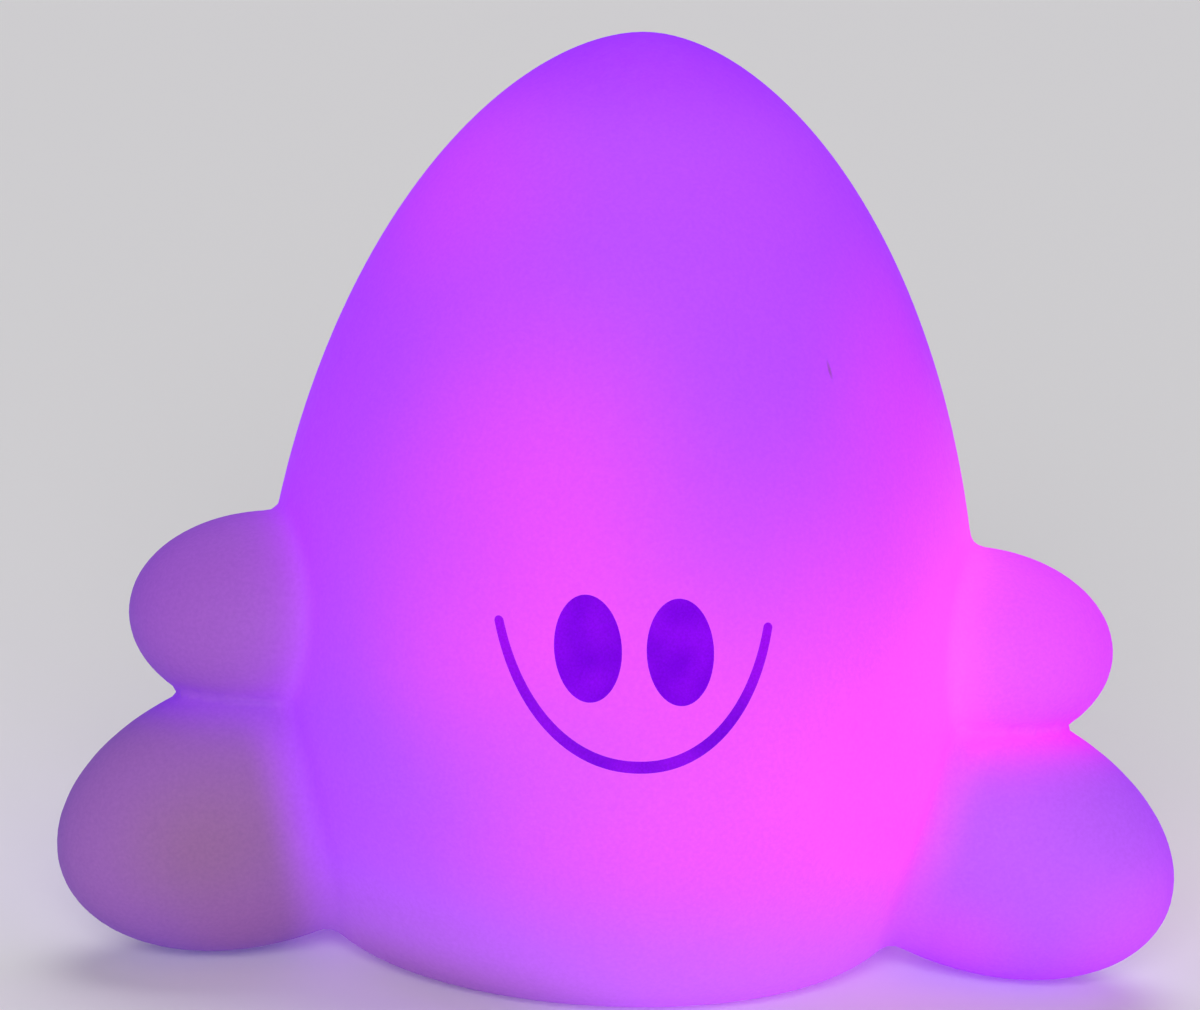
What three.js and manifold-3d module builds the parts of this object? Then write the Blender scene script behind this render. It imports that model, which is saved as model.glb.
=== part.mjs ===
// Light-up ghost figure: a soft translucent skin over a small battery light with three coloured lamps.
// Millimetres, +Z up. The front faces -Y and +X is the viewer's right.
// The origin is the middle of the face that the figure stands on.
import * as THREE from 'three';
import { mergeVertices } from 'three/addons/utils/BufferGeometryUtils.js';
import Module from 'manifold-3d';

const wasm = await Module();
wasm.setup();

// Driving sizes of the figure's outside
const figureHeight = 120;
const bodyRadius = 47.3; // widest ring of the egg-shaped body
const bellyHeight = 31; // height of the widest ring
const eggDepth = 48.8; // the egg would close this far below its widest ring
const eggPower = 1.775; // 2 makes an ellipse, less makes a pointed egg
const crownSoftness = 3; // rounds the very tip
const baseRounding = 5; // rounds the edge that meets the table
const leftArm = {
  reach: 44.8, // from the middle of the figure to the middle of the limb
  height: 43.8,
  length: 19.7, // half sizes of the limb's ellipsoid: outwards, front to back and upwards
  depth: 15.3,
  thickness: 13.4,
  splayDegrees: 10.3, // towards the front
  droopDegrees: -2.3,
};
const rightArm = { ...leftArm, height: 42.5 }; // a little lower
const leftFoot = {
  reach: 47.15,
  height: 19.4,
  length: 27.3,
  depth: 15.2,
  thickness: 17.8,
  splayDegrees: 15.2,
  droopDegrees: 15.3,
};
const rightFoot = { ...leftFoot, reach: 47.65, length: 27.8, droopDegrees: 17 }; // a little longer

// Driving sizes of the skin and the face
const skinWall = 2.5;
const lipThickness = 2; // inward lip that the base grips
const lipWidth = 2.6;
const eyeHeight = 49.8; // height of the eyes' middles
const eyeSpacing = 11.3;
const eyeWidth = 8.3;
const eyeTall = 13;
const smileBottom = 35.6; // height of the smile's lowest point
const smileRise = 16.6; // from there to its ends
const smileHalfWidth = 17.5; // of the closed curve that the smile is part of
const smileHalfHeight = 24.7;
const smilePower = 2.12;
const smileStroke = 1.5;
const faceShift = -0.85; // the face sits a little off the middle
const faceLeanShare = 0.06; // and leans a little
const inlayThickness = 0.4;

// Driving sizes of the battery light
const fitGap = 0.3; // between pieces that touch
const overrun = 1; // cuts run past faces by this much
const groundGap = 0.5; // base plate above the table
const plateRimThickness = 1.4;
const plateThickness = 2.4;
const cupWall = 1.6;
const flangeWidth = 5.5; // how far the cup stands out over the skin's lip
const cupEdge = 0.8; // bevel round the top of the cup
const cellDiameter = 11.6; // LR44 button cell
const cellThickness = 5.4;
const cellCount = 3;
const cellStep = 0.5; // the cell's smaller cap
const cellPlay = 0.4;
const contactThickness = 0.4;
const contactWidth = 9;
const springLength = 4.6;
const springRadius = 3.4;
const springTip = 2.4; // coil radius at the cell's end
const springWire = 0.5; // wire diameter
const springTurns = 2.5;
const bayOffset = 4.5; // battery bay behind the middle
const bayWall = 1.4;
const doorThickness = 2;
const doorMargin = 2.6; // door beyond the bay, each side
const doorLedge = 1.4; // plate over the door's edge
const padThickness = 0.8;
const padInset = 1.2;
const fingerRadius = 3.4; // dished grip in the door
const fingerDepth = 0.6;
const bossRadius = 2.8;
const bossWeld = 0.6; // how far a boss runs into the wall beside it
const bossClearance = 0.8;
const screwSink = 0.2; // heads below the surface
const baseScrew = { headRadius: 2.3, headThickness: 1.1, shankRadius: 1.1, shankLength: 8 };
const doorScrew = { headRadius: 1.9, headThickness: 0.8, shankRadius: 0.9, shankLength: 5.2 };
const boardScrew = { headRadius: 1.9, headThickness: 0.8, shankRadius: 0.9, shankLength: 3.6 };
const doorScrewInset = 2.6; // from the end of the bay
const crossWidth = 0.5;
const switchOffset = 13; // switch in front of the middle
const switchLength = 8.6;
const switchWidth = 3.8;
const switchHeight = 3.6;
const switchRoof = 1; // closed top of the switch over the knob's foot
const switchFence = 1; // wall of the ribs round the switch
const fenceHeight = 2.4;
const knobLength = 2.6;
const knobWidth = 1.7;
const knobTravel = 3;
const knobGap = 0.3;
const thumbReach = 2.2; // dished recess round the knob's slot
const thumbDepth = 1;
const knobSink = 0.3; // knob above the plate's lower face
const rimInset = 1;
const rimWall = 1.2;
const rimHeight = 2.2;
const postRadius = 2.2;
const postHeight = 2.2;
const boardThickness = 1.6;
const boardPlay = 1.4;
const boardScrewInset = 3;
const coverWall = 1.6;
const coverSkirt = 6;
const coverRise = 13;
const lampCircle = 10; // lamps from the middle of the board
const lampRadius = 2.5;
const lampFlange = 2.9;
const lampFlangeHeight = 1;
const lampHeight = 8.6;
const chip = { length: 6, width: 5, height: 1.6 };
const resistor = { length: 3.2, width: 1.6, height: 0.6 };
const resistorCircle = 6;
const capacitor = { radius: 2.5, height: 6, edge: 0.4 };
const capacitorCircle = 13;
const leadRadius = 0.6;
const leadSpread = 1.2; // leads each side of the middle of their hole
const leadHoleRadius = 3.2;
const leadHoleOffset = 17;
const leadStraight = 1.6; // straight run at each end of a lead

// Counts
const skinColumns = 54;
const hollowColumns = 36;
const limbColumns = 20;
const limbRows = 14;
const hollowLimbColumns = 12;
const hollowLimbRows = 8;
const roundSegments = 36;
const smallSegments = 12;
const endSegments = 8; // each round end of a slot
const searchSteps = 40;
const fastenerCount = 3;

// Where things lie, worked out from the sizes above
const plateBottom = groundGap;
const plateRimTop = plateBottom + plateRimThickness;
const plateTop = plateBottom + plateThickness;
const lipBottom = plateRimTop + fitGap;
const lipTop = lipBottom + lipThickness;
const neckBottom = plateTop + fitGap;
const flangeBottom = lipTop + fitGap;
const flangeTop = flangeBottom + cupWall;
const doorTop = plateBottom + doorThickness;
const seatBottom = doorTop + fitGap;
const seatTop = seatBottom + doorLedge;
const padTop = seatBottom + padThickness;
const cellRadius = cellDiameter / 2;
const cellHeight = padTop + fitGap + cellRadius;
const bayTop = cellHeight + cellRadius + cellPlay;
const deckBottom = bayTop + bayWall + fitGap;
const deckTop = deckBottom + cupWall;
const boardBottom = deckTop + postHeight + fitGap;
const boardTop = boardBottom + boardThickness;
const cellsLength = cellCount * (cellThickness + fitGap) + fitGap;
const bayLength = cellsLength + springLength + 2 * (contactThickness + fitGap) + fitGap;
const bayWidth = cellDiameter + 2 * cellPlay;
const doorScrewX = bayLength / 2 + doorScrewInset;
const doorHalfWidth = bayWidth / 2 + doorMargin;
const doorHalfLength = doorScrewX + doorScrew.headRadius + fitGap + bayWall;
const seatHalfWidth = doorHalfWidth + fitGap + bayWall;
const seatHalfLength = doorHalfLength + fitGap + bayWall;
const seatReach = Math.hypot(seatHalfLength - seatHalfWidth, bayOffset) + seatHalfWidth;
const bossCircle = Math.max(
  bayOffset + seatHalfWidth + bossClearance + bossRadius,
  seatReach + fitGap + bossWeld - bossRadius,
);
const neckInner = bossCircle + bossRadius - bossWeld;
const neckRadius = neckInner + cupWall;
const plateRadius = neckRadius + lipWidth;
const cupRadius = neckRadius + flangeWidth;
const rimRadius = cupRadius - rimInset;
const coverBottom = deckTop + fitGap;
const coverRadius = rimRadius - rimWall - fitGap;
const boardRadius = coverRadius - coverWall - boardPlay;
const contactX = bayLength / 2 - fitGap - contactThickness / 2;
const leadX = contactX - contactThickness / 2 + leadRadius; // in line with the contact's inner face
const switchTop = plateTop + fitGap + switchHeight;

const white = () => new THREE.MeshStandardMaterial({ color: 0xeeece8, roughness: 0.5 });
const steel = () => new THREE.MeshStandardMaterial({ color: 0xb9bcc0, roughness: 0.3, metalness: 1 });
const ink = () => new THREE.MeshStandardMaterial({ color: 0x4a0d9a, roughness: 0.6 });
const black = () => new THREE.MeshStandardMaterial({ color: 0x1b1b1e, roughness: 0.5 });

// Solids: joining and cutting

// A closed geometry as a solid, with shared vertices merged and collapsed triangles left out.
function solidFrom(geometry) {
  const bare = geometry.clone();
  bare.deleteAttribute('normal');
  bare.deleteAttribute('uv');
  const merged = mergeVertices(bare, 1e-4);
  const corners = merged.index.array;
  const kept = [];
  for (let i = 0; i < corners.length; i += 3) {
    const [a, b, c] = [corners[i], corners[i + 1], corners[i + 2]];
    if (a !== b && b !== c && c !== a) kept.push(a, b, c);
  }
  const mesh = new wasm.Mesh({
    numProp: 3,
    vertProperties: merged.attributes.position.array,
    triVerts: new Uint32Array(kept),
  });
  return new wasm.Manifold(mesh);
}

// A solid back as a geometry.
function geometryFrom(solid) {
  const mesh = solid.getMesh();
  const geometry = new THREE.BufferGeometry();
  geometry.setAttribute('position', new THREE.BufferAttribute(mesh.vertProperties, 3));
  geometry.setIndex(new THREE.BufferAttribute(mesh.triVerts, 1));
  geometry.computeVertexNormals();
  return geometry;
}

function joined(...solids) {
  return solids.reduce((sum, solid) => sum.add(solid));
}

function cut(solid, ...tools) {
  return tools.reduce((rest, tool) => rest.subtract(tool), solid);
}

// One named mesh from a solid or a geometry, at a place in its group.
function piece(name, shape, material, x = 0, y = 0, z = 0) {
  const mesh = new THREE.Mesh(shape.isBufferGeometry ? shape : geometryFrom(shape), material);
  mesh.name = name;
  mesh.position.set(x, y, z);
  return mesh;
}

// Solids: plain shapes

function box(length, width, low, high, x = 0, y = 0) {
  const geometry = new THREE.BoxGeometry(length, width, high - low);
  geometry.translate(x, y, (low + high) / 2);
  return solidFrom(geometry);
}

function post(radius, low, high, x = 0, y = 0, segments = smallSegments) {
  const geometry = new THREE.CylinderGeometry(radius, radius, high - low, segments);
  geometry.rotateX(Math.PI / 2);
  geometry.translate(x, y, (low + high) / 2);
  return solidFrom(geometry);
}

// A straight-sided plan with round ends, drawn between two heights.
function obround(halfLength, halfWidth, low, high, x = 0, y = 0) {
  const straight = halfLength - halfWidth;
  const outline = new THREE.Shape();
  outline.absarc(straight, 0, halfWidth, -Math.PI / 2, Math.PI / 2);
  outline.absarc(-straight, 0, halfWidth, Math.PI / 2, Math.PI * 1.5);
  outline.closePath();
  const options = { depth: high - low, bevelEnabled: false, curveSegments: endSegments };
  const geometry = new THREE.ExtrudeGeometry(outline, options);
  geometry.translate(x, y, low);
  return solidFrom(geometry);
}

// A profile of [radius, height] points turned round the Z axis, whichever way it was drawn.
function turned(profile, segments = roundSegments) {
  const next = (i) => profile[(i + 1) % profile.length];
  const area = profile.reduce((sum, p, i) => sum + p[0] * next(i)[1] - next(i)[0] * p[1], 0);
  const ordered = area > 0 ? profile : [...profile].reverse();
  const points = ordered.map(([radius, height]) => new THREE.Vector2(radius, height));
  if (profile.every(([radius]) => radius > 0)) points.push(points[0].clone());
  const geometry = new THREE.LatheGeometry(points, segments);
  geometry.rotateX(Math.PI / 2);
  return solidFrom(geometry);
}

// Places evenly round a circle, the first one at the back.
function around(radius, count = fastenerCount) {
  return Array.from({ length: count }, (_, i) => {
    const angle = Math.PI / 2 + (i * 2 * Math.PI) / count;
    return [radius * Math.cos(angle), radius * Math.sin(angle)];
  });
}

// The figure's outer surface

// Radius of the egg at a height: (r/R)^p + t^2 = 1, with the tip softened.
function eggRadius(height) {
  const half = height > bellyHeight ? figureHeight - bellyHeight : eggDepth;
  const t = (height - bellyHeight) / half;
  const soft = (crownSoftness / bodyRadius) ** eggPower;
  const squared = bodyRadius ** 2 * Math.max(1 - t * t + soft, 0) ** (2 / eggPower);
  return Math.sqrt(Math.max(squared - crownSoftness ** 2, 0));
}

// Distance to the egg, near its surface: its formula over the length of the formula's slope.
function eggDistance(radius, height) {
  const half = height > bellyHeight ? figureHeight - bellyHeight : eggDepth;
  const t = (height - bellyHeight) / half;
  const softened = (radius ** 2 + crownSoftness ** 2) / bodyRadius ** 2;
  const soft = (crownSoftness / bodyRadius) ** eggPower;
  const value = softened ** (eggPower / 2) - soft + t * t - 1;
  const slopeOut = (eggPower * radius * softened ** (eggPower / 2 - 1)) / bodyRadius ** 2;
  const slopeUp = (2 * t) / half;
  return value / Math.max(Math.hypot(slopeOut, slopeUp), Number.EPSILON);
}

// The egg standing on the table: the larger of the two distances, filleted where they are nearly alike.
function bodyDistance(radius, height) {
  const egg = eggDistance(radius, height);
  const near = Math.max(baseRounding - Math.abs(egg + height), 0) / baseRounding;
  return Math.max(egg, -height) + (near * near * baseRounding) / 4;
}

// The skin's inner face: one wall inside the body, with a flat floor over the lip.
function hollowDistance(radius, height) {
  return Math.max(bodyDistance(radius, height) + skinWall, lipTop - height);
}

// Angles from straight up to straight down, evenly spaced between the given stops.
function spread(stops, counts) {
  return counts.flatMap((count, i) =>
    Array.from({ length: count }, (_, k) => stops[i] + ((stops[i + 1] - stops[i]) * (k + 1)) / count),
  );
}

// A half outline found along rays from a point on the axis, where the distance changes sign.
function rayProfile(distance, middle, angles) {
  return [0, ...angles, Math.PI].map((polar) => {
    let [low, high] = [0, figureHeight + bodyRadius];
    for (let i = 0; i < searchSteps; i++) {
      const half = (low + high) / 2;
      if (distance(half * Math.sin(polar), middle + half * Math.cos(polar)) < 0) low = half;
      else high = half;
    }
    return [polar % Math.PI === 0 ? 0 : low * Math.sin(polar), middle + low * Math.cos(polar)];
  });
}

// A limb's ellipsoid on one side, made smaller all round by an inset.
function limbSolid(limb, side, inset, columns, rows) {
  const geometry = new THREE.SphereGeometry(1, columns, rows);
  geometry.rotateZ(Math.PI / 2); // poles at the tip and inside the body
  geometry.scale(limb.length - inset, limb.depth - inset, limb.thickness - inset);
  geometry.rotateY(THREE.MathUtils.degToRad(limb.droopDegrees));
  geometry.translate(limb.reach, 0, limb.height);
  geometry.rotateZ(THREE.MathUtils.degToRad(-limb.splayDegrees));
  if (side > 0) return solidFrom(geometry);
  return solidFrom(geometry).mirror([1, 0, 0]);
}

// The face

// A place on the egg's front, from its distance across, its height and its level above the surface.
function facePoint(across, height, level) {
  const radius = eggRadius(height);
  const slope = (eggRadius(height + fitGap) - eggRadius(height - fitGap)) / (2 * fitGap);
  const shifted = faceShift + across - faceLeanShare * (height - eyeHeight);
  const turn = shifted / radius;
  const length = Math.hypot(1, slope);
  const out = radius + level / length;
  return [out * Math.sin(turn), -out * Math.cos(turn), height - (level * slope) / length];
}

// A closed patch between two levels over the face, from rows of [across, height] points.
function facePatch(rows, low, high) {
  const columns = rows[0].length;
  const layer = (level) => rows.flatMap((row) => row.map(([a, h]) => facePoint(a, h, level)));
  const points = [...layer(high), ...layer(low)];
  const below = rows.length * columns;
  const faces = [];
  const quad = (a, b, c, d) => faces.push(a, b, c, a, c, d);
  const at = (row, column) => row * columns + column;
  for (let row = 0; row + 1 < rows.length; row++) {
    for (let column = 0; column + 1 < columns; column++) {
      const [a, b] = [at(row, column), at(row, column + 1)];
      const [c, d] = [at(row + 1, column + 1), at(row + 1, column)];
      quad(a, d, c, b);
      quad(below + a, below + b, below + c, below + d);
    }
    quad(at(row, 0), below + at(row, 0), below + at(row + 1, 0), at(row + 1, 0));
    const [last, after] = [at(row, columns - 1), at(row + 1, columns - 1)];
    quad(last, after, below + after, below + last);
  }
  const end = rows.length - 1;
  for (let column = 0; column + 1 < columns; column++) {
    quad(at(0, column), at(0, column + 1), below + at(0, column + 1), below + at(0, column));
    const [a, b] = [at(end, column), at(end, column + 1)];
    quad(a, below + a, below + b, b);
  }
  const geometry = new THREE.BufferGeometry();
  geometry.setAttribute('position', new THREE.Float32BufferAttribute(points.flat(), 3));
  geometry.setIndex(faces);
  return solidFrom(geometry);
}

// Rows down an upright oval, grown all round by a margin.
function eyeRows(side, margin) {
  const [rowCount, columnCount] = [10, 4];
  const middle = (side * eyeSpacing) / 2;
  return Array.from({ length: rowCount + 1 }, (_, row) => {
    const angle = (Math.PI * row) / rowCount;
    const halfWidth = (eyeWidth / 2 + margin) * Math.sin(angle);
    const height = eyeHeight + (eyeTall / 2 + margin) * Math.cos(angle);
    return Array.from({ length: columnCount + 1 }, (_, column) => {
      return [middle + halfWidth * ((2 * column) / columnCount - 1), height];
    });
  });
}

// Rows along the smile, each across its stroke, with round ends.
function smileRows(margin) {
  const [stepCount, endCount] = [20, 2];
  const halfStroke = smileStroke / 2 + margin;
  const endAngle = Math.acos((1 - smileRise / smileHalfHeight) ** (smilePower / 2));
  const onCurve = (angle) => [
    Math.sign(angle) * smileHalfWidth * Math.abs(Math.sin(angle)) ** (2 / smilePower),
    smileBottom + smileHalfHeight * (1 - Math.cos(angle) ** (2 / smilePower)),
  ];
  const row = (centre, direction, half) => [-half, 0, half].map((offset) => [
    centre[0] - offset * direction[1],
    centre[1] + offset * direction[0],
  ]);
  const directionAt = (angle) => {
    const [from, to] = [onCurve(angle - endAngle / stepCount), onCurve(angle + endAngle / stepCount)];
    const length = Math.hypot(to[0] - from[0], to[1] - from[1]);
    return [(to[0] - from[0]) / length, (to[1] - from[1]) / length];
  };
  const cap = (angle, sense) => Array.from({ length: endCount }, (_, i) => {
    const turn = (Math.PI / 2) * ((i + 1) / endCount);
    const direction = directionAt(angle);
    const ahead = sense * halfStroke * Math.sin(turn);
    const [x, y] = onCurve(angle);
    const centre = [x + ahead * direction[0], y + ahead * direction[1]];
    return row(centre, direction, halfStroke * Math.cos(turn));
  });
  const body = Array.from({ length: stepCount + 1 }, (_, i) => {
    const angle = endAngle * ((2 * i) / stepCount - 1);
    return row(onCurve(angle), directionAt(angle), halfStroke);
  });
  return [...cap(-endAngle, -1).reverse(), ...body, ...cap(endAngle, 1)];
}

// The skin, and the face set into it

// Body and limbs as one solid, standing on a flat floor.
function figureSolid(profile, inset, floor, columns, limbColumns, limbRows) {
  const limbs = [[leftArm, -1], [leftFoot, -1], [rightArm, 1], [rightFoot, 1]].map(([limb, side]) =>
    limbSolid(limb, side, inset, limbColumns, limbRows),
  );
  const span = 2 * (rightFoot.reach + rightFoot.length + bodyRadius);
  return cut(joined(turned(profile, columns), ...limbs), box(span, span, floor - span, floor));
}

function ghostSkin() {
  const middle = leftArm.height;
  const crownAngle = Math.PI / 3;
  const edgeAngle = Math.PI - Math.atan2(eggRadius(baseRounding), middle - baseRounding);
  const flatAngle = Math.PI - Math.atan2(eggRadius(0) - baseRounding * Math.SQRT2, middle);
  const outerAngles = spread([0, crownAngle, edgeAngle, flatAngle], [8, 11, 4]);
  const outerProfile = rayProfile(bodyDistance, middle, outerAngles);
  const outer = figureSolid(outerProfile, 0, 0, skinColumns, limbColumns, limbRows);
  const cornerRadius = eggRadius(lipTop) - skinWall - baseRounding / 3;
  const cornerAngle = Math.PI - Math.atan2(cornerRadius, middle - lipTop);
  const innerAngles = spread([0, crownAngle, cornerAngle], [6, 9]);
  const innerProfile = rayProfile(hollowDistance, middle, innerAngles);
  const inner = figureSolid(
    innerProfile,
    skinWall,
    lipTop,
    hollowColumns,
    hollowLimbColumns,
    hollowLimbRows,
  );
  const opening = post(neckRadius + fitGap, -overrun, lipTop + overrun, 0, 0, roundSegments);
  const recess = post(plateRadius + fitGap, -overrun, lipBottom, 0, 0, roundSegments);
  const pocket = -inlayThickness - fitGap;
  return cut(
    outer,
    inner,
    opening,
    recess,
    facePatch(eyeRows(-1, fitGap), pocket, overrun),
    facePatch(eyeRows(1, fitGap), pocket, overrun),
    facePatch(smileRows(fitGap), pocket, overrun),
  );
}

function skinGroup() {
  const group = new THREE.Group();
  const silicone = new THREE.MeshStandardMaterial({ color: 0xc95cfb, roughness: 0.55 });
  silicone.emissive.set(0x7a1fb0);
  group.add(piece('ghost_skin', ghostSkin(), silicone));
  group.add(piece('eye_left', facePatch(eyeRows(-1, 0), -inlayThickness, 0), ink()));
  group.add(piece('eye_right', facePatch(eyeRows(1, 0), -inlayThickness, 0), ink()));
  group.add(piece('smile', facePatch(smileRows(0), -inlayThickness, 0), ink()));
  return group;
}

// Screws

// Head down, shank up, with a cross in the head. Its origin is the middle of the head's outer face.
function screwSolid({ headRadius, headThickness, shankRadius, shankLength }) {
  const tip = headThickness + shankLength;
  const soft = headThickness / 4;
  const outline = [
    [0, 0],
    [headRadius - soft, 0],
    [headRadius, soft],
    [headRadius, headThickness],
    [shankRadius, headThickness],
    [shankRadius, tip - shankRadius],
    [shankRadius / 2, tip],
    [0, tip],
  ];
  const arms = [
    [crossWidth, headRadius * 1.1],
    [headRadius * 1.1, crossWidth],
  ];
  const slots = arms.map(([length, width]) => box(length, width, -overrun, headThickness / 2));
  return cut(turned(outline, smallSegments), ...slots);
}

// The base plate, with the battery bay, the door's seat and the switch's ribs

function basePlate() {
  const edge = plateRimThickness / 4;
  const disc = turned([
    [0, plateBottom],
    [plateRadius - edge, plateBottom],
    [plateRadius, plateBottom + edge],
    [plateRadius, plateRimTop],
    [neckRadius, plateRimTop],
    [neckRadius, plateTop],
    [0, plateTop],
  ]);
  const doorBossTop = plateBottom + screwSink + doorScrew.headThickness + doorScrew.shankLength;
  const doorBosses = [-doorScrewX, doorScrewX].map((x) =>
    post(doorScrew.shankRadius + fitGap + bayWall, plateTop, doorBossTop + fitGap + bayWall, x, bayOffset),
  );
  const doorPilots = [-doorScrewX, doorScrewX].map((x) =>
    post(doorScrew.shankRadius + fitGap, 0, doorBossTop + fitGap, x, bayOffset),
  );
  const seat = obround(seatHalfLength, seatHalfWidth, plateBottom, seatTop, 0, bayOffset);
  const recess = obround(doorHalfLength + fitGap, doorHalfWidth + fitGap, 0, seatBottom, 0, bayOffset);
  const tubSize = [bayLength + 2 * bayWall, bayWidth + 2 * bayWall];
  const tub = box(...tubSize, plateTop, bayTop + bayWall, 0, bayOffset);
  const bay = box(bayLength, bayWidth, 0, bayTop, 0, bayOffset);
  const fenceOuter = [
    switchLength + 2 * (fitGap + switchFence),
    switchWidth + 2 * (fitGap + switchFence),
  ];
  const fence = box(...fenceOuter, plateTop - fitGap, plateTop + fenceHeight, 0, -switchOffset);
  const fenceInner = [switchLength + 2 * fitGap, switchWidth + 2 * fitGap];
  const switchSeat = box(...fenceInner, plateTop, plateTop + fenceHeight + overrun, 0, -switchOffset);
  const slotLength = knobLength + knobTravel + 2 * knobGap;
  const slotWidth = knobWidth + 2 * knobGap;
  const slot = box(slotLength, slotWidth, 0, plateTop + overrun, 0, -switchOffset);
  const thumb = obround(
    slotLength / 2 + thumbReach,
    slotWidth / 2 + thumbReach,
    0,
    plateBottom + thumbDepth,
    0,
    -switchOffset,
  );
  const sunk = plateBottom + screwSink + baseScrew.headThickness + fitGap;
  const screwHoles = around(bossCircle).flatMap(([x, y]) => [
    post(baseScrew.headRadius + fitGap, 0, sunk, x, y),
    post(baseScrew.shankRadius + fitGap, 0, plateTop + overrun, x, y),
  ]);
  const wallSpan = bayWidth / 2 + bayWall + overrun;
  const leadHoles = [-leadX, leadX].map((x) => {
    const radius = leadRadius + fitGap;
    const geometry = new THREE.CylinderGeometry(radius, radius, wallSpan, smallSegments);
    geometry.translate(x, bayOffset - wallSpan / 2, cellHeight);
    return solidFrom(geometry);
  });
  return cut(
    joined(disc, seat, tub, fence, ...doorBosses),
    recess,
    bay,
    switchSeat,
    slot,
    thumb,
    ...doorPilots,
    ...screwHoles,
    ...leadHoles,
  );
}

// The cup that the plate screws to, which grips the skin's lip and carries the board

function baseCup() {
  const rimTop = deckTop + rimHeight;
  const shell = turned([
    [0, deckBottom],
    [cupRadius - cupWall, deckBottom],
    [cupRadius - cupWall, flangeTop],
    [neckInner, flangeTop],
    [neckInner, neckBottom],
    [neckRadius, neckBottom],
    [neckRadius, flangeBottom],
    [cupRadius, flangeBottom],
    [cupRadius, deckTop - cupEdge],
    [cupRadius - cupEdge, deckTop],
    [rimRadius, deckTop],
    [rimRadius, rimTop],
    [rimRadius - rimWall, rimTop],
    [rimRadius - rimWall, deckTop],
    [0, deckTop],
  ]);
  const bosses = around(bossCircle).map(([x, y]) => post(bossRadius, neckBottom, deckTop - fitGap, x, y));
  const screwEnd = plateBottom + screwSink + baseScrew.headThickness + baseScrew.shankLength + fitGap;
  const pilots = around(bossCircle).map(([x, y]) =>
    post(baseScrew.shankRadius + fitGap, 0, screwEnd, x, y),
  );
  const postCircle = boardRadius - boardScrewInset;
  const posts = around(postCircle).map(([x, y]) =>
    post(postRadius, deckTop - fitGap, deckTop + postHeight, x, y),
  );
  const pilotBottom = boardTop - boardScrew.shankLength;
  const boardPilots = around(postCircle).map(([x, y]) =>
    post(boardScrew.shankRadius + fitGap, pilotBottom, boardTop, x, y),
  );
  const leadHole = post(leadHoleRadius, deckBottom - overrun, deckTop + overrun, 0, -leadHoleOffset);
  return cut(joined(shell, ...bosses, ...posts), leadHole, ...pilots, ...boardPilots);
}

function baseGroup() {
  const group = new THREE.Group();
  group.add(piece('base_plate', basePlate(), white()));
  group.add(piece('base_cup', baseCup(), white()));
  const screw = screwSolid(baseScrew);
  around(bossCircle).forEach(([x, y], i) => {
    group.add(piece(`base_screw_${i + 1}`, screw, steel(), x, y, plateBottom + screwSink));
  });
  return group;
}

// The battery door with its foam pad and two captive screws

function doorGroup() {
  const group = new THREE.Group();
  group.position.set(0, bayOffset, plateBottom);
  const sunk = screwSink + doorScrew.headThickness + fitGap;
  const holes = [-doorScrewX, doorScrewX].flatMap((x) => [
    post(doorScrew.headRadius + fitGap, -overrun, sunk, x),
    post(doorScrew.shankRadius + fitGap, -overrun, doorThickness + overrun, x),
  ]);
  const grip = obround(fingerRadius * 2, fingerRadius, -overrun, fingerDepth);
  const ribs = [-1, 0, 1].map((step) =>
    box(fingerDepth, fingerRadius * 2, 0, fingerDepth * 2, step * fingerRadius),
  );
  const panel = obround(doorHalfLength, doorHalfWidth, 0, doorThickness);
  const door = joined(cut(panel, ...holes, grip), ...ribs);
  group.add(piece('battery_door', door, white()));
  const padLength = cellsLength - 2 * padInset;
  const padLow = doorThickness + fitGap;
  const pad = box(padLength, cellDiameter - 2 * padInset, padLow, padLow + padThickness);
  const padX = (bayLength - cellsLength) / 2 - contactThickness - fitGap;
  group.add(piece('door_pad', pad, black(), padX));
  const screw = screwSolid(doorScrew);
  [-doorScrewX, doorScrewX].forEach((x, i) => {
    group.add(piece(`door_screw_${i + 1}`, screw, steel(), x, 0, screwSink));
  });
  return group;
}

// The cells in a row, with a spring at one end and flat contacts at both

function cellSolid() {
  const half = cellThickness / 2;
  const cap = cellRadius - cellStep * 2;
  const profile = [
    [0, -half],
    [cap, -half],
    [cap, -half + cellStep],
    [cellRadius - cellStep, -half + cellStep],
    [cellRadius, -half + cellStep * 2],
    [cellRadius, half - cellStep],
    [cellRadius - cellStep, half],
    [0, half],
  ];
  return turned(profile, 2 * endSegments);
}

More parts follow.
